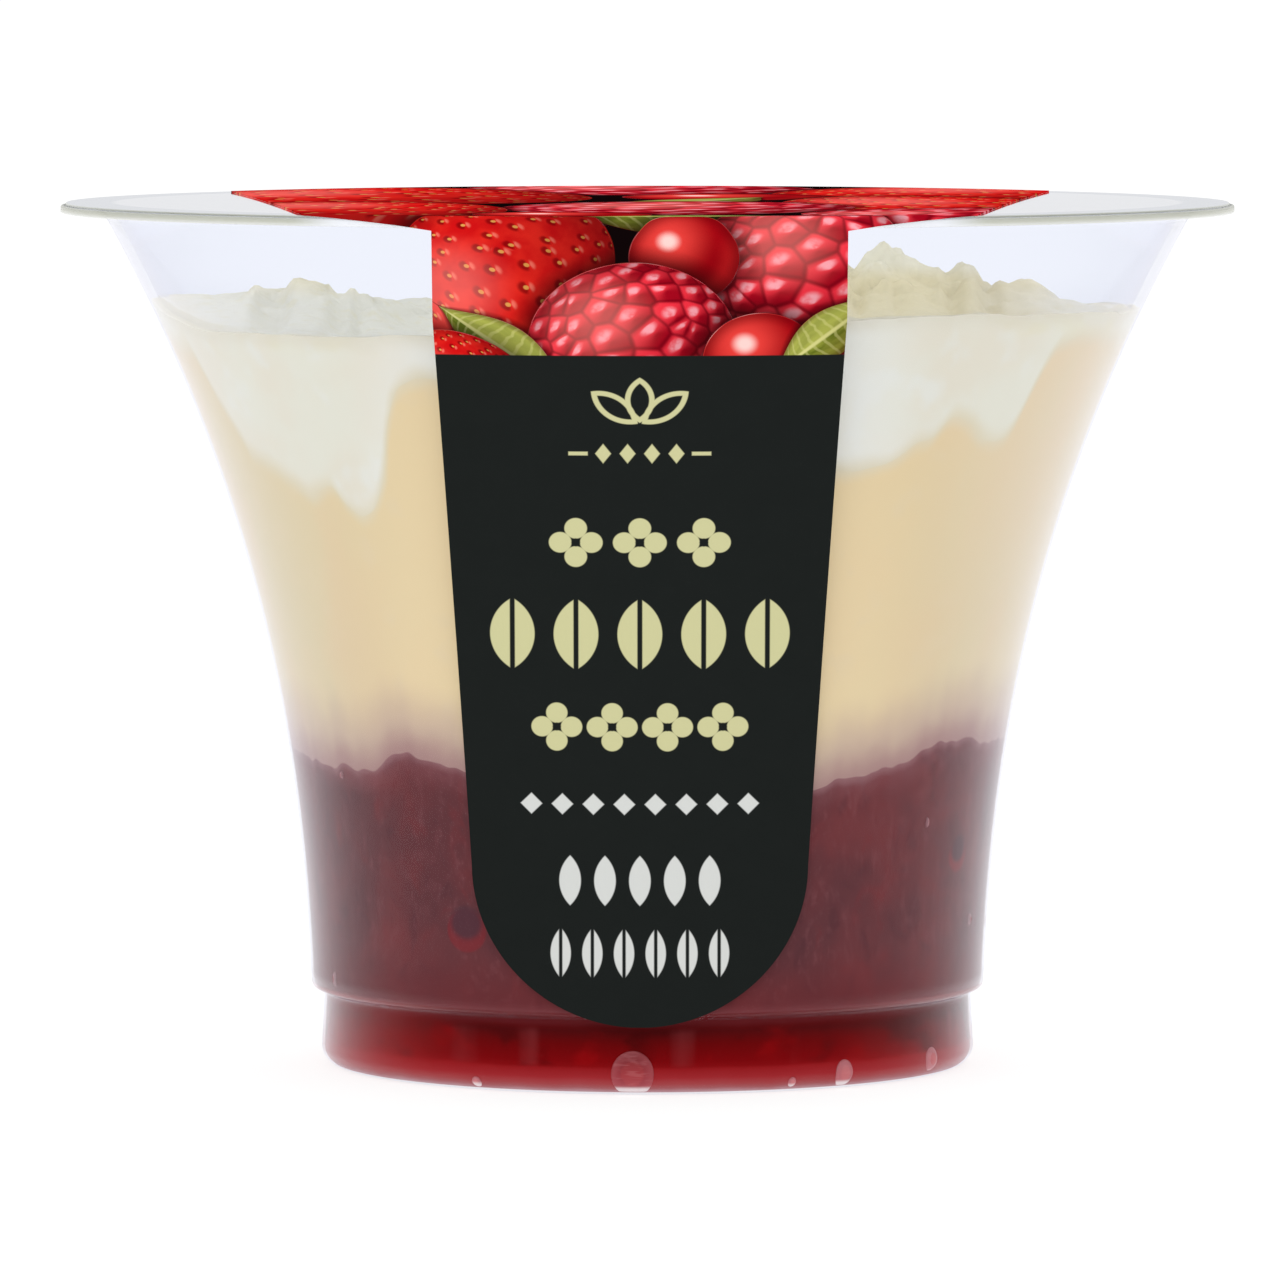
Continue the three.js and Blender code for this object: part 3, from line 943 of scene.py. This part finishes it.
def bare_card():
    made = Finish("bare_card")
    fibres = made.cloud(made.object_place(), 3.0, 4.0)
    colour = made.blend(fibres, rgb(226, 225, 220), rgb(240, 239, 235))
    return made.painted(Base_Color=colour, Roughness=0.75, Specular_IOR_Level=0.2)


# ------------------------------------------------------------------ the food


ABOVE_ALL = 100 * MM  # heights over and under the part, where lines through it start
BELOW_ALL = -20 * MM


class Form:
    """The form of a packed food node, read by straight lines down or up through it."""

    def __init__(self, node):
        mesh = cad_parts[node].data
        points = [v.co.copy() for v in mesh.vertices]
        faces = [tuple(face.vertices) for face in mesh.polygons]
        self.tree = BVHTree.FromPolygons(points, faces)

    def height(self, x, y, down):
        start = Vector((x, y, ABOVE_ALL if down else BELOW_ALL))
        hit = self.tree.ray_cast(start, Vector((0, 0, -1 if down else 1)))[0]
        return None if hit is None else hit.z

    def soft_height(self, x, y, down, reach):
        """The height averaged with four places round it, so that facets don't show."""
        around = [(0, 0), (reach, 0), (-reach, 0), (0, reach), (0, -reach)]
        found = [self.height(x + a, y + b, down) for a, b in around]
        found = [z for z in found if z is not None]
        return sum(found) / len(found) if found else None


def outer_profile():
    points = sorted(((z, r) for r, z in pot_outside()[2:]), key=lambda p: p[0])
    return [p[0] for p in points], [p[1] for p in points]


OUTER_HEIGHTS, OUTER_RADII = outer_profile()


def food_radius(z):
    """Radius of the food's side, just inside the wall's outer face."""
    return np.interp(z, OUTER_HEIGHTS, OUTER_RADII) - FOOD_UNDER_FACE


def round_points():
    return [2 * math.pi * i / TURNS for i in range(TURNS)]


def at_angle(radius, angle):
    return radius * math.sin(angle), -radius * math.cos(angle)


USUAL_RADIUS = 30 * MM  # of the food's side, near enough for the size of lumps in it
EDGE_BETWEEN = (20 * MM, 47.5 * MM)  # radii that every form's edge lies between
HALVINGS = 12
READ_INSIDE = 0.6 * MM  # how far inside its edge a form's height there is read


def ring_noise(angle, size, seed):
    """Unevenness round the wall, with lumps about size wide."""
    x, y = at_angle(USUAL_RADIUS / size, angle)
    return noise.noise(Vector((x, y, seed)))


def widest(form, angle):
    """Radius at which a form's upper edge lies, found by halving."""
    inner, outer = EDGE_BETWEEN
    for _ in range(HALVINGS):
        middle = (inner + outer) / 2
        x, y = at_angle(middle, angle)
        if form.height(x, y, True) is None:
            outer = middle
        else:
            inner = middle
    return inner


# The wavy edges between layers on the front half: angle in degrees, height in millimetres.
FRUIT_EDGE = [
    (-88, 25.9), (-74, 25.8), (-66, 25.4), (-63, 25.5), (-59, 25.2), (-47.5, 25.3), (-46.8, 25.9),
    (-45.6, 26.5), (-43.4, 26.85), (-40.9, 27.1), (-37.8, 26.75), (-36, 26.2), (-30.9, 25.8),
    (-20, 25.0), (0, 24.4), (20, 24.1), (28.2, 24.4), (32.2, 25.0), (39.4, 25.6), (45.5, 26.0),
    (48.8, 26.8), (53.6, 27.3), (59, 27.7), (66, 27.0), (74, 26.9), (88, 26.9),
]
CREAM_EDGE = [
    (-88, 59.2), (-80, 59.0), (-71, 58.6), (-69.5, 56.5), (-68.5, 54.7), (-66, 52.6), (-63.8, 50.5),
    (-58.2, 49.3), (-53.6, 48.1), (-51.1, 47.4), (-47.8, 48.1), (-46.2, 48.4), (-44.7, 46.7), (-42.1, 45.6),
    (-39.4, 46.2), (-37.5, 47.9), (-35.9, 50.1), (-34.5, 52.8), (-32.9, 54.9), (-31.5, 56.5),
    (-29.1, 57.0), (-26.3, 57.2), (-14, 55.5), (0, 52.5), (14, 50.2), (25.7, 49.7), (31.9, 50.2),
    (34.2, 50.9), (36.5, 51.9), (39, 52.3), (40.1, 53.5), (41.4, 54.0), (44.6, 53.4), (47.4, 52.0),
    (50.3, 51.6), (53, 52.3), (54.3, 54.4), (55.2, 57.6), (57, 59.6), (63.5, 60.0), (71, 59.6),
    (80, 59.2), (88, 59.2),
]
SEEN = 88.0  # degrees each way from the front that such a list holds for
SEEN_FADE = 8.0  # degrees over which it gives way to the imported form


def edge_heights(lower, upper, rough, seed, front=()):
    """Heights round the wall where two layers meet, half way across the gap between their forms.

    rough lists the lumps in the edge by width and height, and front the heights that replace the form's.
    """
    made = []
    for angle in round_points():
        radius = widest(lower, angle)
        x, y = at_angle(radius - READ_INSIDE, angle)
        found = [lower.height(x, y, True)]
        if upper is not None:
            found.append(upper.height(x, y, False))
        z = sum(found) / len(found)
        turn = (math.degrees(angle) + 180) % 360 - 180
        if front:
            known = np.interp(turn, [a for a, _ in front], [h for _, h in front]) * MM
            z = mix(z, known, smooth((SEEN - abs(turn)) / SEEN_FADE))
        for size, height in rough:
            z += height * ring_noise(angle, size, seed)
        made.append(z)
    before = made[-1:] + made[:-1]
    after = made[1:] + made[:1]
    return [(a + 2 * b + c) / 4 for a, b, c in zip(before, made, after)]


UNIT = 100 * MM  # radius and height of the plain drum that a layer starts as


def food_layer(name, edges, faces, rings, rows, relief=None):
    """A layer that fills the pot between two edges on the wall. The faces give heights inside them.

    rings counts the steps across the lower and the upper face, rows those up the wall.
    """
    low_rings, high_rings = rings
    profile = [(i / low_rings * UNIT, 0.0) for i in range(low_rings + 1)]
    profile += [(UNIT, UNIT * (i + 1) / rows) for i in range(rows)]
    profile += [(UNIT * (1 - (i + 1) / high_rings), UNIT) for i in range(high_rings)]
    piece = turned(name, profile, TURNS)
    at = corners(piece)
    share = np.minimum(1.0, np.hypot(at[:, 0], at[:, 1]) / UNIT)
    up = at[:, 2] / UNIT
    angle = np.arctan2(at[:, 0], -at[:, 1])
    step = np.rint(angle / (2 * math.pi) * TURNS).astype(int) % TURNS
    low = np.array(edges[0])[step]
    high = np.array(edges[1])[step]
    height = mix(low, high, up)
    radius = share * food_radius(height)
    off_wall = share < 1 - 1e-4
    at_top = (up > 1 - 1e-4) & off_wall
    at_bottom = (up < 1e-4) & off_wall
    for chosen, face in ((at_bottom, faces[0]), (at_top, faces[1])):
        for i in np.flatnonzero(chosen):
            height[i] = face(radius[i], angle[i], share[i], height[i])
    x = radius * np.sin(angle)
    y = -radius * np.cos(angle)
    if relief is not None:
        height[at_top] += relief(x[at_top], y[at_top], height[at_top], share[at_top])
    move_corners(piece, np.stack([x, y, height], axis=1))
    keep_number(piece, "above_low_edge", (height - low) / MM)
    keep_number(piece, "below_high_edge", (high - height) / MM)
    keep_number(piece, "on_top", at_top.astype(float))
    return piece


FORM_SHARE = 0.985  # share of the radius at which a form is read, so that the line meets it
RUN_IN_FROM = 0.9  # share of the radius from which a face runs into the edge on the wall
RUN_IN_OVER = 0.1  # share of the radius that this takes


def face_of(form, down, soft=0.0):
    """Heights of a layer's face: its packed form inside, running into the edge on the wall."""

    def height(radius, angle, share, edge):
        x, y = at_angle(radius * FORM_SHARE, angle)
        z = form.soft_height(x, y, down, soft) if soft else form.height(x, y, down)
        return mix(edge if z is None else z, edge, smooth((share - RUN_IN_FROM) / RUN_IN_OVER))

    return height


def level_face(z):
    """A flat face: the same height at every radius, angle, share and edge."""
    return lambda radius, angle, share, edge: z


# Rounded curds that stand out on the cream's top, in millimetres: x, y, half width and height.
CURDS = [
    (18.7, 2.0, 2.5, 1.25), (16.4, 0.5, 1.7, 0.5), (21.2, 0.0, 1.5, 0.8), (24.4, -1.0, 2.6, 1.25),
    (26.4, -1.0, 1.4, 1.0), (28.9, -3.0, 1.7, 0.7), (30.6, -3.0, 2.2, 0.9), (32.0, -1.0, 1.2, 0.5),
    (-28.9, 2.0, 1.5, 1.0), (-27.2, 1.5, 1.2, 0.7), (-25.6, 2.0, 1.0, 0.6), (-23.6, 0.5, 1.3, 1.2),
    (-21.6, 2.0, 1.1, 0.5), (-19.0, 4.0, 1.6, 0.6), (-17.0, 2.0, 1.2, 0.4), (-31.0, 3.0, 1.1, 0.5),
]
SMALL_CURDS = 600
CURDS_REACH = 41 * MM  # radius that the small curds are strewn over
CURD_HALVES = (0.7, 1.9)  # their half widths in millimetres
CURD_HEIGHTS = (0.35, 0.9)  # their heights as shares of that
CURD_OFF_PILE = 0.2  # what is left of their height away from the pile
CRUMB_SIZE = 0.8 * MM
CRUMB_OFF_PILE = 0.06  # its height in millimetres away from the pile
CRUMB_ON_PILE = 0.3  # its height on the pile
SWAY_SIZE = 5 * MM  # width of the soft swells under it
SWAY_HEIGHT = 0.5 * MM
PILE_FOOT = 61.4 * MM  # the cream counts as piled from here
PILE_RISE = 2.0 * MM  # and fully so this much higher


# How much higher or lower the pile's crest runs than its packed form: x and height in millimetres.
CREST = [
    (-34, 0), (-32, 0.3), (-31.2, -0.9), (-30.4, -1.4), (-29.6, -1.65), (-29.1, -1.1), (-28.9, -0.4),
    (-28.4, -0.1), (-27.5, 0.05), (-26.5, 0), (-25.8, -0.1), (-25.3, -0.75), (-24.5, -1.15),
    (-23.9, -0.75), (-23.4, -1.6), (-22.4, -0.95), (-21.5, -1.1), (-20.6, -1.3), (-19.6, -1.4),
    (-18.6, -1.6), (-17.7, -1.75), (-16, -1.4), (-14, -0.6), (12, 0.2), (16, 0.35), (16.6, -0.9),
    (17.1, -0.9), (17.7, -0.4), (18.5, -0.5), (19.2, -0.1), (19.8, -0.7), (20.5, -0.3), (22, -0.1),
    (23, -0.35), (23.7, -0.35), (24.2, -1.15), (24.8, -0.75), (25.4, 0.05), (26.1, 0.15), (26.6, -0.4),
    (27.1, -1.4), (28, -1.5), (28.5, -1.1), (29.5, -1.0), (30.4, -0.6), (31.4, -0.3), (32.2, -0.5),
    (32.8, -0.9), (34, -0.8), (36, -0.5), (38, -0.4), (40, 0),
]
CREST_SOFT = 9  # steps of 0.1 mm that its corners are rounded over
CREST_DEPTH = 27 * MM  # half width of the strip, front to back, that the crest's line holds for


def cream_relief(x, y, z, share):
    """Torn, crumbly curds on the cream's top, thickest where it is piled."""
    chance = random.Random(23)
    lumps = [tuple(value * MM for value in curd) for curd in CURDS]
    for _ in range(SMALL_CURDS):
        angle, out = chance.uniform(0, 2 * math.pi), math.sqrt(chance.random()) * CURDS_REACH
        half = chance.uniform(*CURD_HALVES) * MM
        tall = half * chance.uniform(*CURD_HEIGHTS)
        lumps.append((out * math.sin(angle), out * math.cos(angle), half, tall))
    piled = np.clip((z - PILE_FOOT) / PILE_RISE, 0, 1)
    raised = np.zeros_like(z)
    for number, (at_x, at_y, half, height) in enumerate(lumps):
        away = ((x - at_x) ** 2 + (y - at_y) ** 2) / half**2
        dome = height * np.sqrt(np.clip(1 - away, 0, 1))
        if number >= len(CURDS):
            dome *= mix(CURD_OFF_PILE, 1.0, piled)
        raised = np.maximum(raised, dome)
    crumb = np.array([noise.noise(Vector(place) / CRUMB_SIZE) for place in zip(x, y, z)])
    sway = np.array([noise.noise(Vector(place) / SWAY_SIZE) for place in zip(x, y, z)])
    raised += crumb * mix(CRUMB_OFF_PILE, CRUMB_ON_PILE, piled) * MM + sway * SWAY_HEIGHT
    fine = np.arange(-40.0, 40.0, 0.1)
    line = np.interp(fine, [a for a, _ in CREST], [h for _, h in CREST])
    line = np.convolve(line, np.hanning(CREST_SOFT) / np.hanning(CREST_SOFT).sum(), "same")
    line = np.interp(x / MM, fine, line) * MM
    raised += line * np.exp(-((y / CREST_DEPTH) ** 4))
    return raised * (1 - share**6)


LEAST_CREAM = 0.4 * MM  # height of cream left at the wall wherever the custard rises
CREAM_SOFT = 0.8 * MM  # reach over which the cream's top is averaged


def make_food():
    compote = Form("berry_compote")
    custard = Form("custard")
    cream = Form("whipped_cream")
    jelly_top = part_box("berry_jelly")[1].z + 0.1 * MM
    bottom = [FOOD_FLOOR] * TURNS
    step = [jelly_top] * TURNS
    lumps = [(2.2 * MM, 0.3 * MM), (1.3 * MM, 0.35 * MM), (0.8 * MM, 0.3 * MM)]
    fruit_edge = edge_heights(compote, custard, lumps, seed=3.0, front=FRUIT_EDGE)
    waves = [(3.5 * MM, 0.35 * MM), (1.2 * MM, 0.16 * MM)]
    shore = edge_heights(cream, None, waves, seed=17.0)  # where the cream's top meets the wall
    drips = [(4 * MM, 0.2 * MM), (1.5 * MM, 0.25 * MM)]
    cream_edge = edge_heights(custard, cream, drips, seed=9.0, front=CREAM_EDGE)
    cream_edge = [min(z, top - LEAST_CREAM) for z, top in zip(cream_edge, shore)]
    floor = level_face(FOOD_FLOOR)
    ledge = level_face(jelly_top)
    inside = (face_of(custard, False), face_of(custard, True))
    top = (face_of(cream, False), face_of(cream, True, CREAM_SOFT))
    fruit = (ledge, face_of(compote, True))
    return {
        "berry_jelly": food_layer("foot_jelly", (bottom, step), (floor, ledge), rings=(12, 4), rows=26),
        "berry_compote": food_layer("fruit_compote", (step, fruit_edge), fruit, rings=(4, 10), rows=64),
        "custard": food_layer("custard_layer", (fruit_edge, cream_edge), inside, rings=(10, 10), rows=80),
        "whipped_cream": food_layer(
            "cream_top", (cream_edge, shore), top, rings=(10, 110), rows=40, relief=cream_relief
        ),
    }


# Air bubbles caught between the food and the wall: angle from the front in degrees, height of the
# middle, half width and half height in millimetres.
BUBBLES = [
    (-2.6, 1.75, 1.7, 1.85), (-31.3, 0.75, 0.42, 0.42), (26.0, 0.85, 0.34, 0.4), (36.6, 1.3, 0.85, 1.1),
    (60.1, 1.6, 0.9, 0.95), (-98.0, 1.4, 0.9, 1.0), (97.0, 1.5, 1.3, 1.5), (118.0, 0.8, 0.4, 0.4),
    (141.0, 1.3, 0.8, 0.9), (166.0, 1.6, 1.5, 1.6), (-171.0, 0.8, 0.35, 0.4), (-148.0, 1.5, 1.0, 1.1),
    (-122.0, 1.0, 0.5, 0.6), (-110.0, 2.2, 1.2, 1.3),
    (-67.4, 7.75, 0.13, 0.62), (70.4, 12.5, 0.12, 0.5), (52.0, 21.0, 0.1, 0.4), (-58.0, 24.6, 0.12, 0.3),
    (104.0, 11.0, 0.14, 0.6), (150.0, 16.0, 0.12, 0.5), (-115.0, 13.0, 0.13, 0.6), (-160.0, 9.0, 0.12, 0.5),
]
SMALL_BUBBLE = 0.5  # a half width in millimetres under which a plainer ball will do
BUBBLE_FLOOR = 0.32 * MM  # no bubble reaches lower
BUBBLE_RISE = 0.26 * MM  # how far a bubble stands out from the food's side
BUBBLE_SINK = 1.5  # how many times as far it reaches into the food
PALEST_UNDER = 0.6  # half width in millimetres up to which bubbles are palest
PLAIN_OVER = 1.4  # half width from which they aren't made paler


def make_bubbles():
    """Flattened bubbles on the food's side, each a ball pressed flat between food and wall."""
    parts = []
    edges = []
    tops = []
    sizes = []
    for degrees, z, half_wide, half_tall in BUBBLES:
        deselect()
        segments, rings = (16, 10) if half_wide < SMALL_BUBBLE else (36, 22)
        bpy.ops.mesh.primitive_uv_sphere_add(segments=segments, ring_count=rings, radius=1)
        ball = settle(bpy.context.object, "wall_bubbles")
        at = corners(ball)
        height = np.maximum((z + at[:, 2] * half_tall) * MM, BUBBLE_FLOOR)
        radius = food_radius(height)
        angle = math.radians(degrees) + at[:, 0] * half_wide * MM / radius
        radius = radius + np.where(at[:, 1] < 0, -at[:, 1], -BUBBLE_SINK * at[:, 1]) * BUBBLE_RISE
        move_corners(ball, np.stack([radius * np.sin(angle), -radius * np.cos(angle), height], axis=1))
        edges.append(np.hypot(at[:, 0], at[:, 2]))
        tops.append((height / MM - z) / half_tall)
        smallness = clamp((PLAIN_OVER - half_wide) / (PLAIN_OVER - PALEST_UNDER))
        sizes.append(np.full(len(at), smallness))
        parts.append(ball)
    deselect()
    for ball in parts:
        ball.select_set(True)
    bpy.context.view_layer.objects.active = parts[0]
    bpy.ops.object.join()
    piece = bpy.context.object
    keep_number(piece, "from_middle", np.concatenate(edges))
    keep_number(piece, "up_the_bubble", np.concatenate(tops))
    keep_number(piece, "smallness", np.concatenate(sizes))
    face_outwards()
    bpy.ops.object.shade_smooth_by_angle(angle=math.radians(60))
    return piece


def bubble_skin():
    """Pinkish air bubbles, with painted light: brighter towards the flat bottom and round the edge, near
    white where light comes up from the floor.
    """
    made = Finish("bubble_skin")
    place = made.object_place()
    _, _, z = made.split(place)
    up = made.stored("up_the_bubble")
    streaks = made.cloud(made.stretched(place, (1, 1, 6.0)), 0.6, 2.0)
    colour = made.coats(
        rgb(116, 26, 30),
        # painted light: paler towards the flat bottom and round the edge, near white low down
        (up.between(1.0, -0.2), 154, 50, 56),
        (up.between(0.0, -1.0), 178, 92, 98),
        (made.stored("from_middle").between(0.5, 0.97) * 0.25, 190, 100, 104),
        (streaks.between(0.5, 0.65) * 0.25, 190, 110, 112),
        (made.stored("smallness") * 0.8, 206, 128, 132),
        (z.between(0.85, 0.5), 236, 220, 218),
        (z.between(6.6, 7.0), 168, 120, 124),
    )
    return made.painted(Base_Color=colour, Roughness=0.3, Specular_IOR_Level=0.2)


def red_jelly():
    """Clear dark red jelly, brighter where light comes up through its lower edge."""
    made = Finish("red_jelly")
    place = made.object_place()
    x, _, z = made.split(place)
    wave = made.cloud(place, 0.25, 2.0) - 0.5
    # painted light by height: pale low down where light comes up through the foot's lower edge, and a paler
    # mauve band at the top, painted haze where it is seen through the ledge
    depth = made.graded(
        (z + wave * 0.35) / 6.6,
        (0.04, 190, 150, 154),
        (0.09, 168, 96, 98),
        (0.14, 166, 70, 72),
        (0.22, 160, 42, 46),
        (0.32, 150, 26, 30),
        (0.355, 134, 12, 16),
        (0.42, 124, 5, 9),
        (0.62, 106, 5, 7),
        (0.77, 82, 10, 12),
        (0.81, 88, 12, 14),
        (0.87, 98, 27, 30),
        (1.0, 104, 35, 38),
    )
    patches = made.cloud(made.stretched(place, (1, 1, 1.6)), 0.16)
    upper = z.between(2.0, 2.6) * z.between(5.6, 4.8)
    streaks = made.cloud(made.stretched(place, (1, 1, 0.1)), 0.3, 2.0, 0.4)
    colour = made.coats(
        depth,
        (patches.between(0.54, 0.72) * upper * 0.5, 156, 8, 12),
        (patches.between(0.46, 0.32) * upper * 0.7, 72, 6, 7),
        (x.between(-14.0, -22.0) * z.between(1.0, 2.0) * 0.3, 158, 6, 10),
        # pale vertical streaks: painted highlights
        (streaks.between(0.54, 0.76) * upper * 0.32, 150, 64, 66),
    )
    return made.painted(Base_Color=colour, Roughness=0.25, Specular_IOR_Level=0.02)


# Dark currants: angle from the front in degrees, height and half width in millimetres.
CURRANTS = [
    (-31.5, 13.5, 1.75), (63.0, 18.5, 1.4), (98.0, 13.0, 1.8), (150.0, 19.0, 1.6), (-150.0, 15.0, 1.8),
    (-104.0, 20.0, 1.5), (172.0, 11.0, 1.7),
]
CURRANTS_OUT = 27.6  # millimetres from the axis to the food's side there


def currants(x, y, z):
    """Currants pressed against the wall, each with a redder crescent under it."""
    angle = x.sum("ARCTAN2", x, y * -1.0) * (180 / math.pi)
    dark, red = 0.0, 0.0
    for degrees, height, half in CURRANTS:
        around = (angle - degrees) * (math.radians(1) * CURRANTS_OUT / half)
        inner = hypot(around, (z - height) / (half * 0.9))
        outer = hypot(around, (z - height + half * 0.35) / (half * 0.95))
        dark = inner.between(1.05, 0.6).most(dark)
        red = outer.between(1.12, 0.95).most(red)
    return dark, red


def berry_fruit():
    """Stewed fruit against the wall: mauve and maroon, with redder pieces here and there."""
    made = Finish("berry_fruit")
    place = made.object_place()
    x, y, z = made.split(place)
    wide = made.cloud(place, 0.12, 3.0, 0.55)
    pieces = made.cloud(made.stretched(place, (1, 1, 0.75)), 0.36, 4.0, 0.55, 0.7)
    fine = made.cloud(made.stretched(place, (1, 1, 0.6)), 1.3, 3.0, 0.6)
    dark, red = currants(x, y, z)
    depth = made.stored("below_high_edge")
    drift = (made.cloud(place, 0.5) - 0.5) * 1.4
    colour = made.coats(
        rgb(97, 55, 58),
        (wide.between(0.35, 0.66), 113, 57, 59),
        (pieces.between(0.53, 0.75) * 0.6, 118, 54, 56),
        (pieces.between(0.47, 0.28) * 0.5, 78, 46, 51),
        (fine.between(0.5, 0.75) * 0.25, 140, 86, 90),
        (red * 0.5, 136, 40, 46),
        (dark * 0.75, 70, 52, 60),
        (z.between(12.0, 7.0) * 0.6, 108, 42, 45),
        # a paler band just above the ledge: painted highlight along the pot's corner
        (z.between(7.4, 6.6) * 0.3, 132, 70, 73),
        ((depth + drift).between(2.6, -0.2) * 0.5, 134, 86, 90),
        ((depth + drift * 0.6).between(0.8, -0.2) * 0.7, 152, 112, 114),
    )
    return made.painted(Base_Color=colour, Roughness=0.4, Specular_IOR_Level=0.02)


def painted_light_beside_card(x, y):
    """1 on the wall right beside the hanging card, where painted light makes up for the card's shade."""
    return abs(x - CARD_OFFSET / MM).between(24.0, 16.0) * y.between(-18.0, -24.0)


def smooth_custard():
    """Pale custard with a blush of berry at its foot."""
    made = Finish("custard")
    place = made.object_place()
    x, y, _ = made.split(place)
    soft = made.cloud(made.stretched(place, (1, 1, 0.5)), 0.09)
    fleck = made.cloud(place, 0.35)
    low = made.stored("above_low_edge")
    high = made.stored("below_high_edge")
    drift = (made.cloud(place, 0.3) - 0.5) * 1.6
    colour = made.coats(
        rgb(218, 203, 166),
        (soft.between(0.38, 0.62), 221, 200, 163),
        (y.between(-12.0, -34.0) * 0.75, 227, 203, 156),
        (x.between(18.0, 32.0) * 0.4, 228, 209, 180),
        # painted light where the hanging card shades the custard
        (painted_light_beside_card(x, y) * 0.5, 236, 214, 170),
        (fleck.between(0.55, 0.75) * 0.3, 224, 206, 172),
        ((high + drift * 0.6).between(1.3, -0.4) * 0.8, 219, 212, 188),
        ((low + drift).between(7.0, 1.4) * 0.8, 190, 164, 150),
        ((low + drift * 0.8).between(3.0, -0.2) * 0.8, 160, 122, 122),
    )
    return made.painted(Base_Color=colour, Roughness=0.5, Specular_IOR_Level=0.04)


def whipped_cream():
    """Soft matt cream, warmer where it runs into the custard. Painted shade lies in soft patches on its top,
    painted light and shade even it out beside the card, near the wall and at the sides, and its top glows
    faintly as painted light.
    """
    made = Finish("cream")
    place = made.object_place()
    x, y, z = made.split(place)
    soft = made.cloud(place, 0.12)
    pale = made.cloud(place, 0.2)
    low = made.stored("above_low_edge")
    shore = made.stored("below_high_edge")
    on_top = made.stored("on_top")
    drift = (made.cloud(place, 0.3) - 0.5) * 1.6
    smear = made.cloud(made.stretched(place, (1, 1, 1.8)), 0.16)
    near_shore = (shore + drift).between(2.6, 0.6) * smear.between(0.5, 0.66) * 0.4
    meeting = (shore + drift * 0.6).between(1.5, -0.1) * (smear.between(0.35, 0.6) * 0.4 + 0.5)
    side = made.coats(
        rgb(225, 223, 206),
        (soft.between(0.35, 0.65), 225, 219, 200),
        (pale.between(0.52, 0.7) * 0.6, 227, 228, 219),
        # painted light where the hanging card shades the cream
        (painted_light_beside_card(x, y) * 0.5, 238, 238, 232),
        ((low + drift * 0.6).between(1.5, -0.4), 220, 210, 182),
        (near_shore * (1 - on_top), 222, 214, 176),
        (meeting, 219, 213, 193),
    )
    # the open top is paler on its flats and yellower where it is piled
    slope = hypot(x - 19.0, (y + 16.0) / 1.6)
    painted_shade_patches = made.cloud(place, 0.8).between(0.5, 0.3)
    out = hypot(x, y)
    top = made.coats(
        rgb(215, 214, 204),
        (z.between(61.8, 64.0), 220, 214, 190),
        (slope.between(19.0, 6.0) * 0.85, 216, 206, 172),
        (z.between(63.6, 65.2) * 0.6, 226, 226, 216),
        # soft patches of painted shade
        (painted_shade_patches * 0.35, 210, 203, 172),
        # near the wall the top takes the side's colour, a little lighter: painted light against the shade
        # there
        (out.between(36.0, 39.0) * 0.8, 219, 213, 193),
    )
    # painted shade: the top is darkened towards both sides, where the lamps light it most
    top = made.blend(x.between(20.0, 31.0), top, rgb(229, 227, 226), "MULTIPLY")
    top = made.blend(x.between(-22.0, -36.0), top, rgb(236, 235, 234), "MULTIPLY")
    crumb = made.cloud(place, 2.0, 3.0, 0.6)
    return made.painted(
        Base_Color=made.blend(on_top, side, top),
        Roughness=0.6,
        Specular_IOR_Level=0.03,
        # a faint glow on the open top: painted light for the light carried through the cream
        Emission_Color=made.blend(on_top, rgb(0, 0, 0), rgb(214, 214, 190)),
        Emission_Strength=0.08,
        Normal=made.bump(crumb * on_top, 0.00016, 0.4),
    )


# ------------------------------------------------------------------ putting it together

make_camera()
make_studio()

food = make_food()
food_finish = {
    "berry_jelly": ("red_jelly", red_jelly()),
    "berry_compote": ("berry_fruit", berry_fruit()),
    "custard": ("custard", smooth_custard()),
    "whipped_cream": ("cream", whipped_cream()),
}
for node, piece in food.items():
    slot, material = food_finish[node]
    finished(piece, slot, [material], node)

finished(make_bubbles(), "red_jelly", [bubble_skin()])
finished(make_pot(), "clear_pot", [clear_pot()], "pot")
finished(make_film(), "clear_film", [clear_film()], "lid_film")
finished(make_label(printed_card(), bare_card()), "printed_card", [], "label")
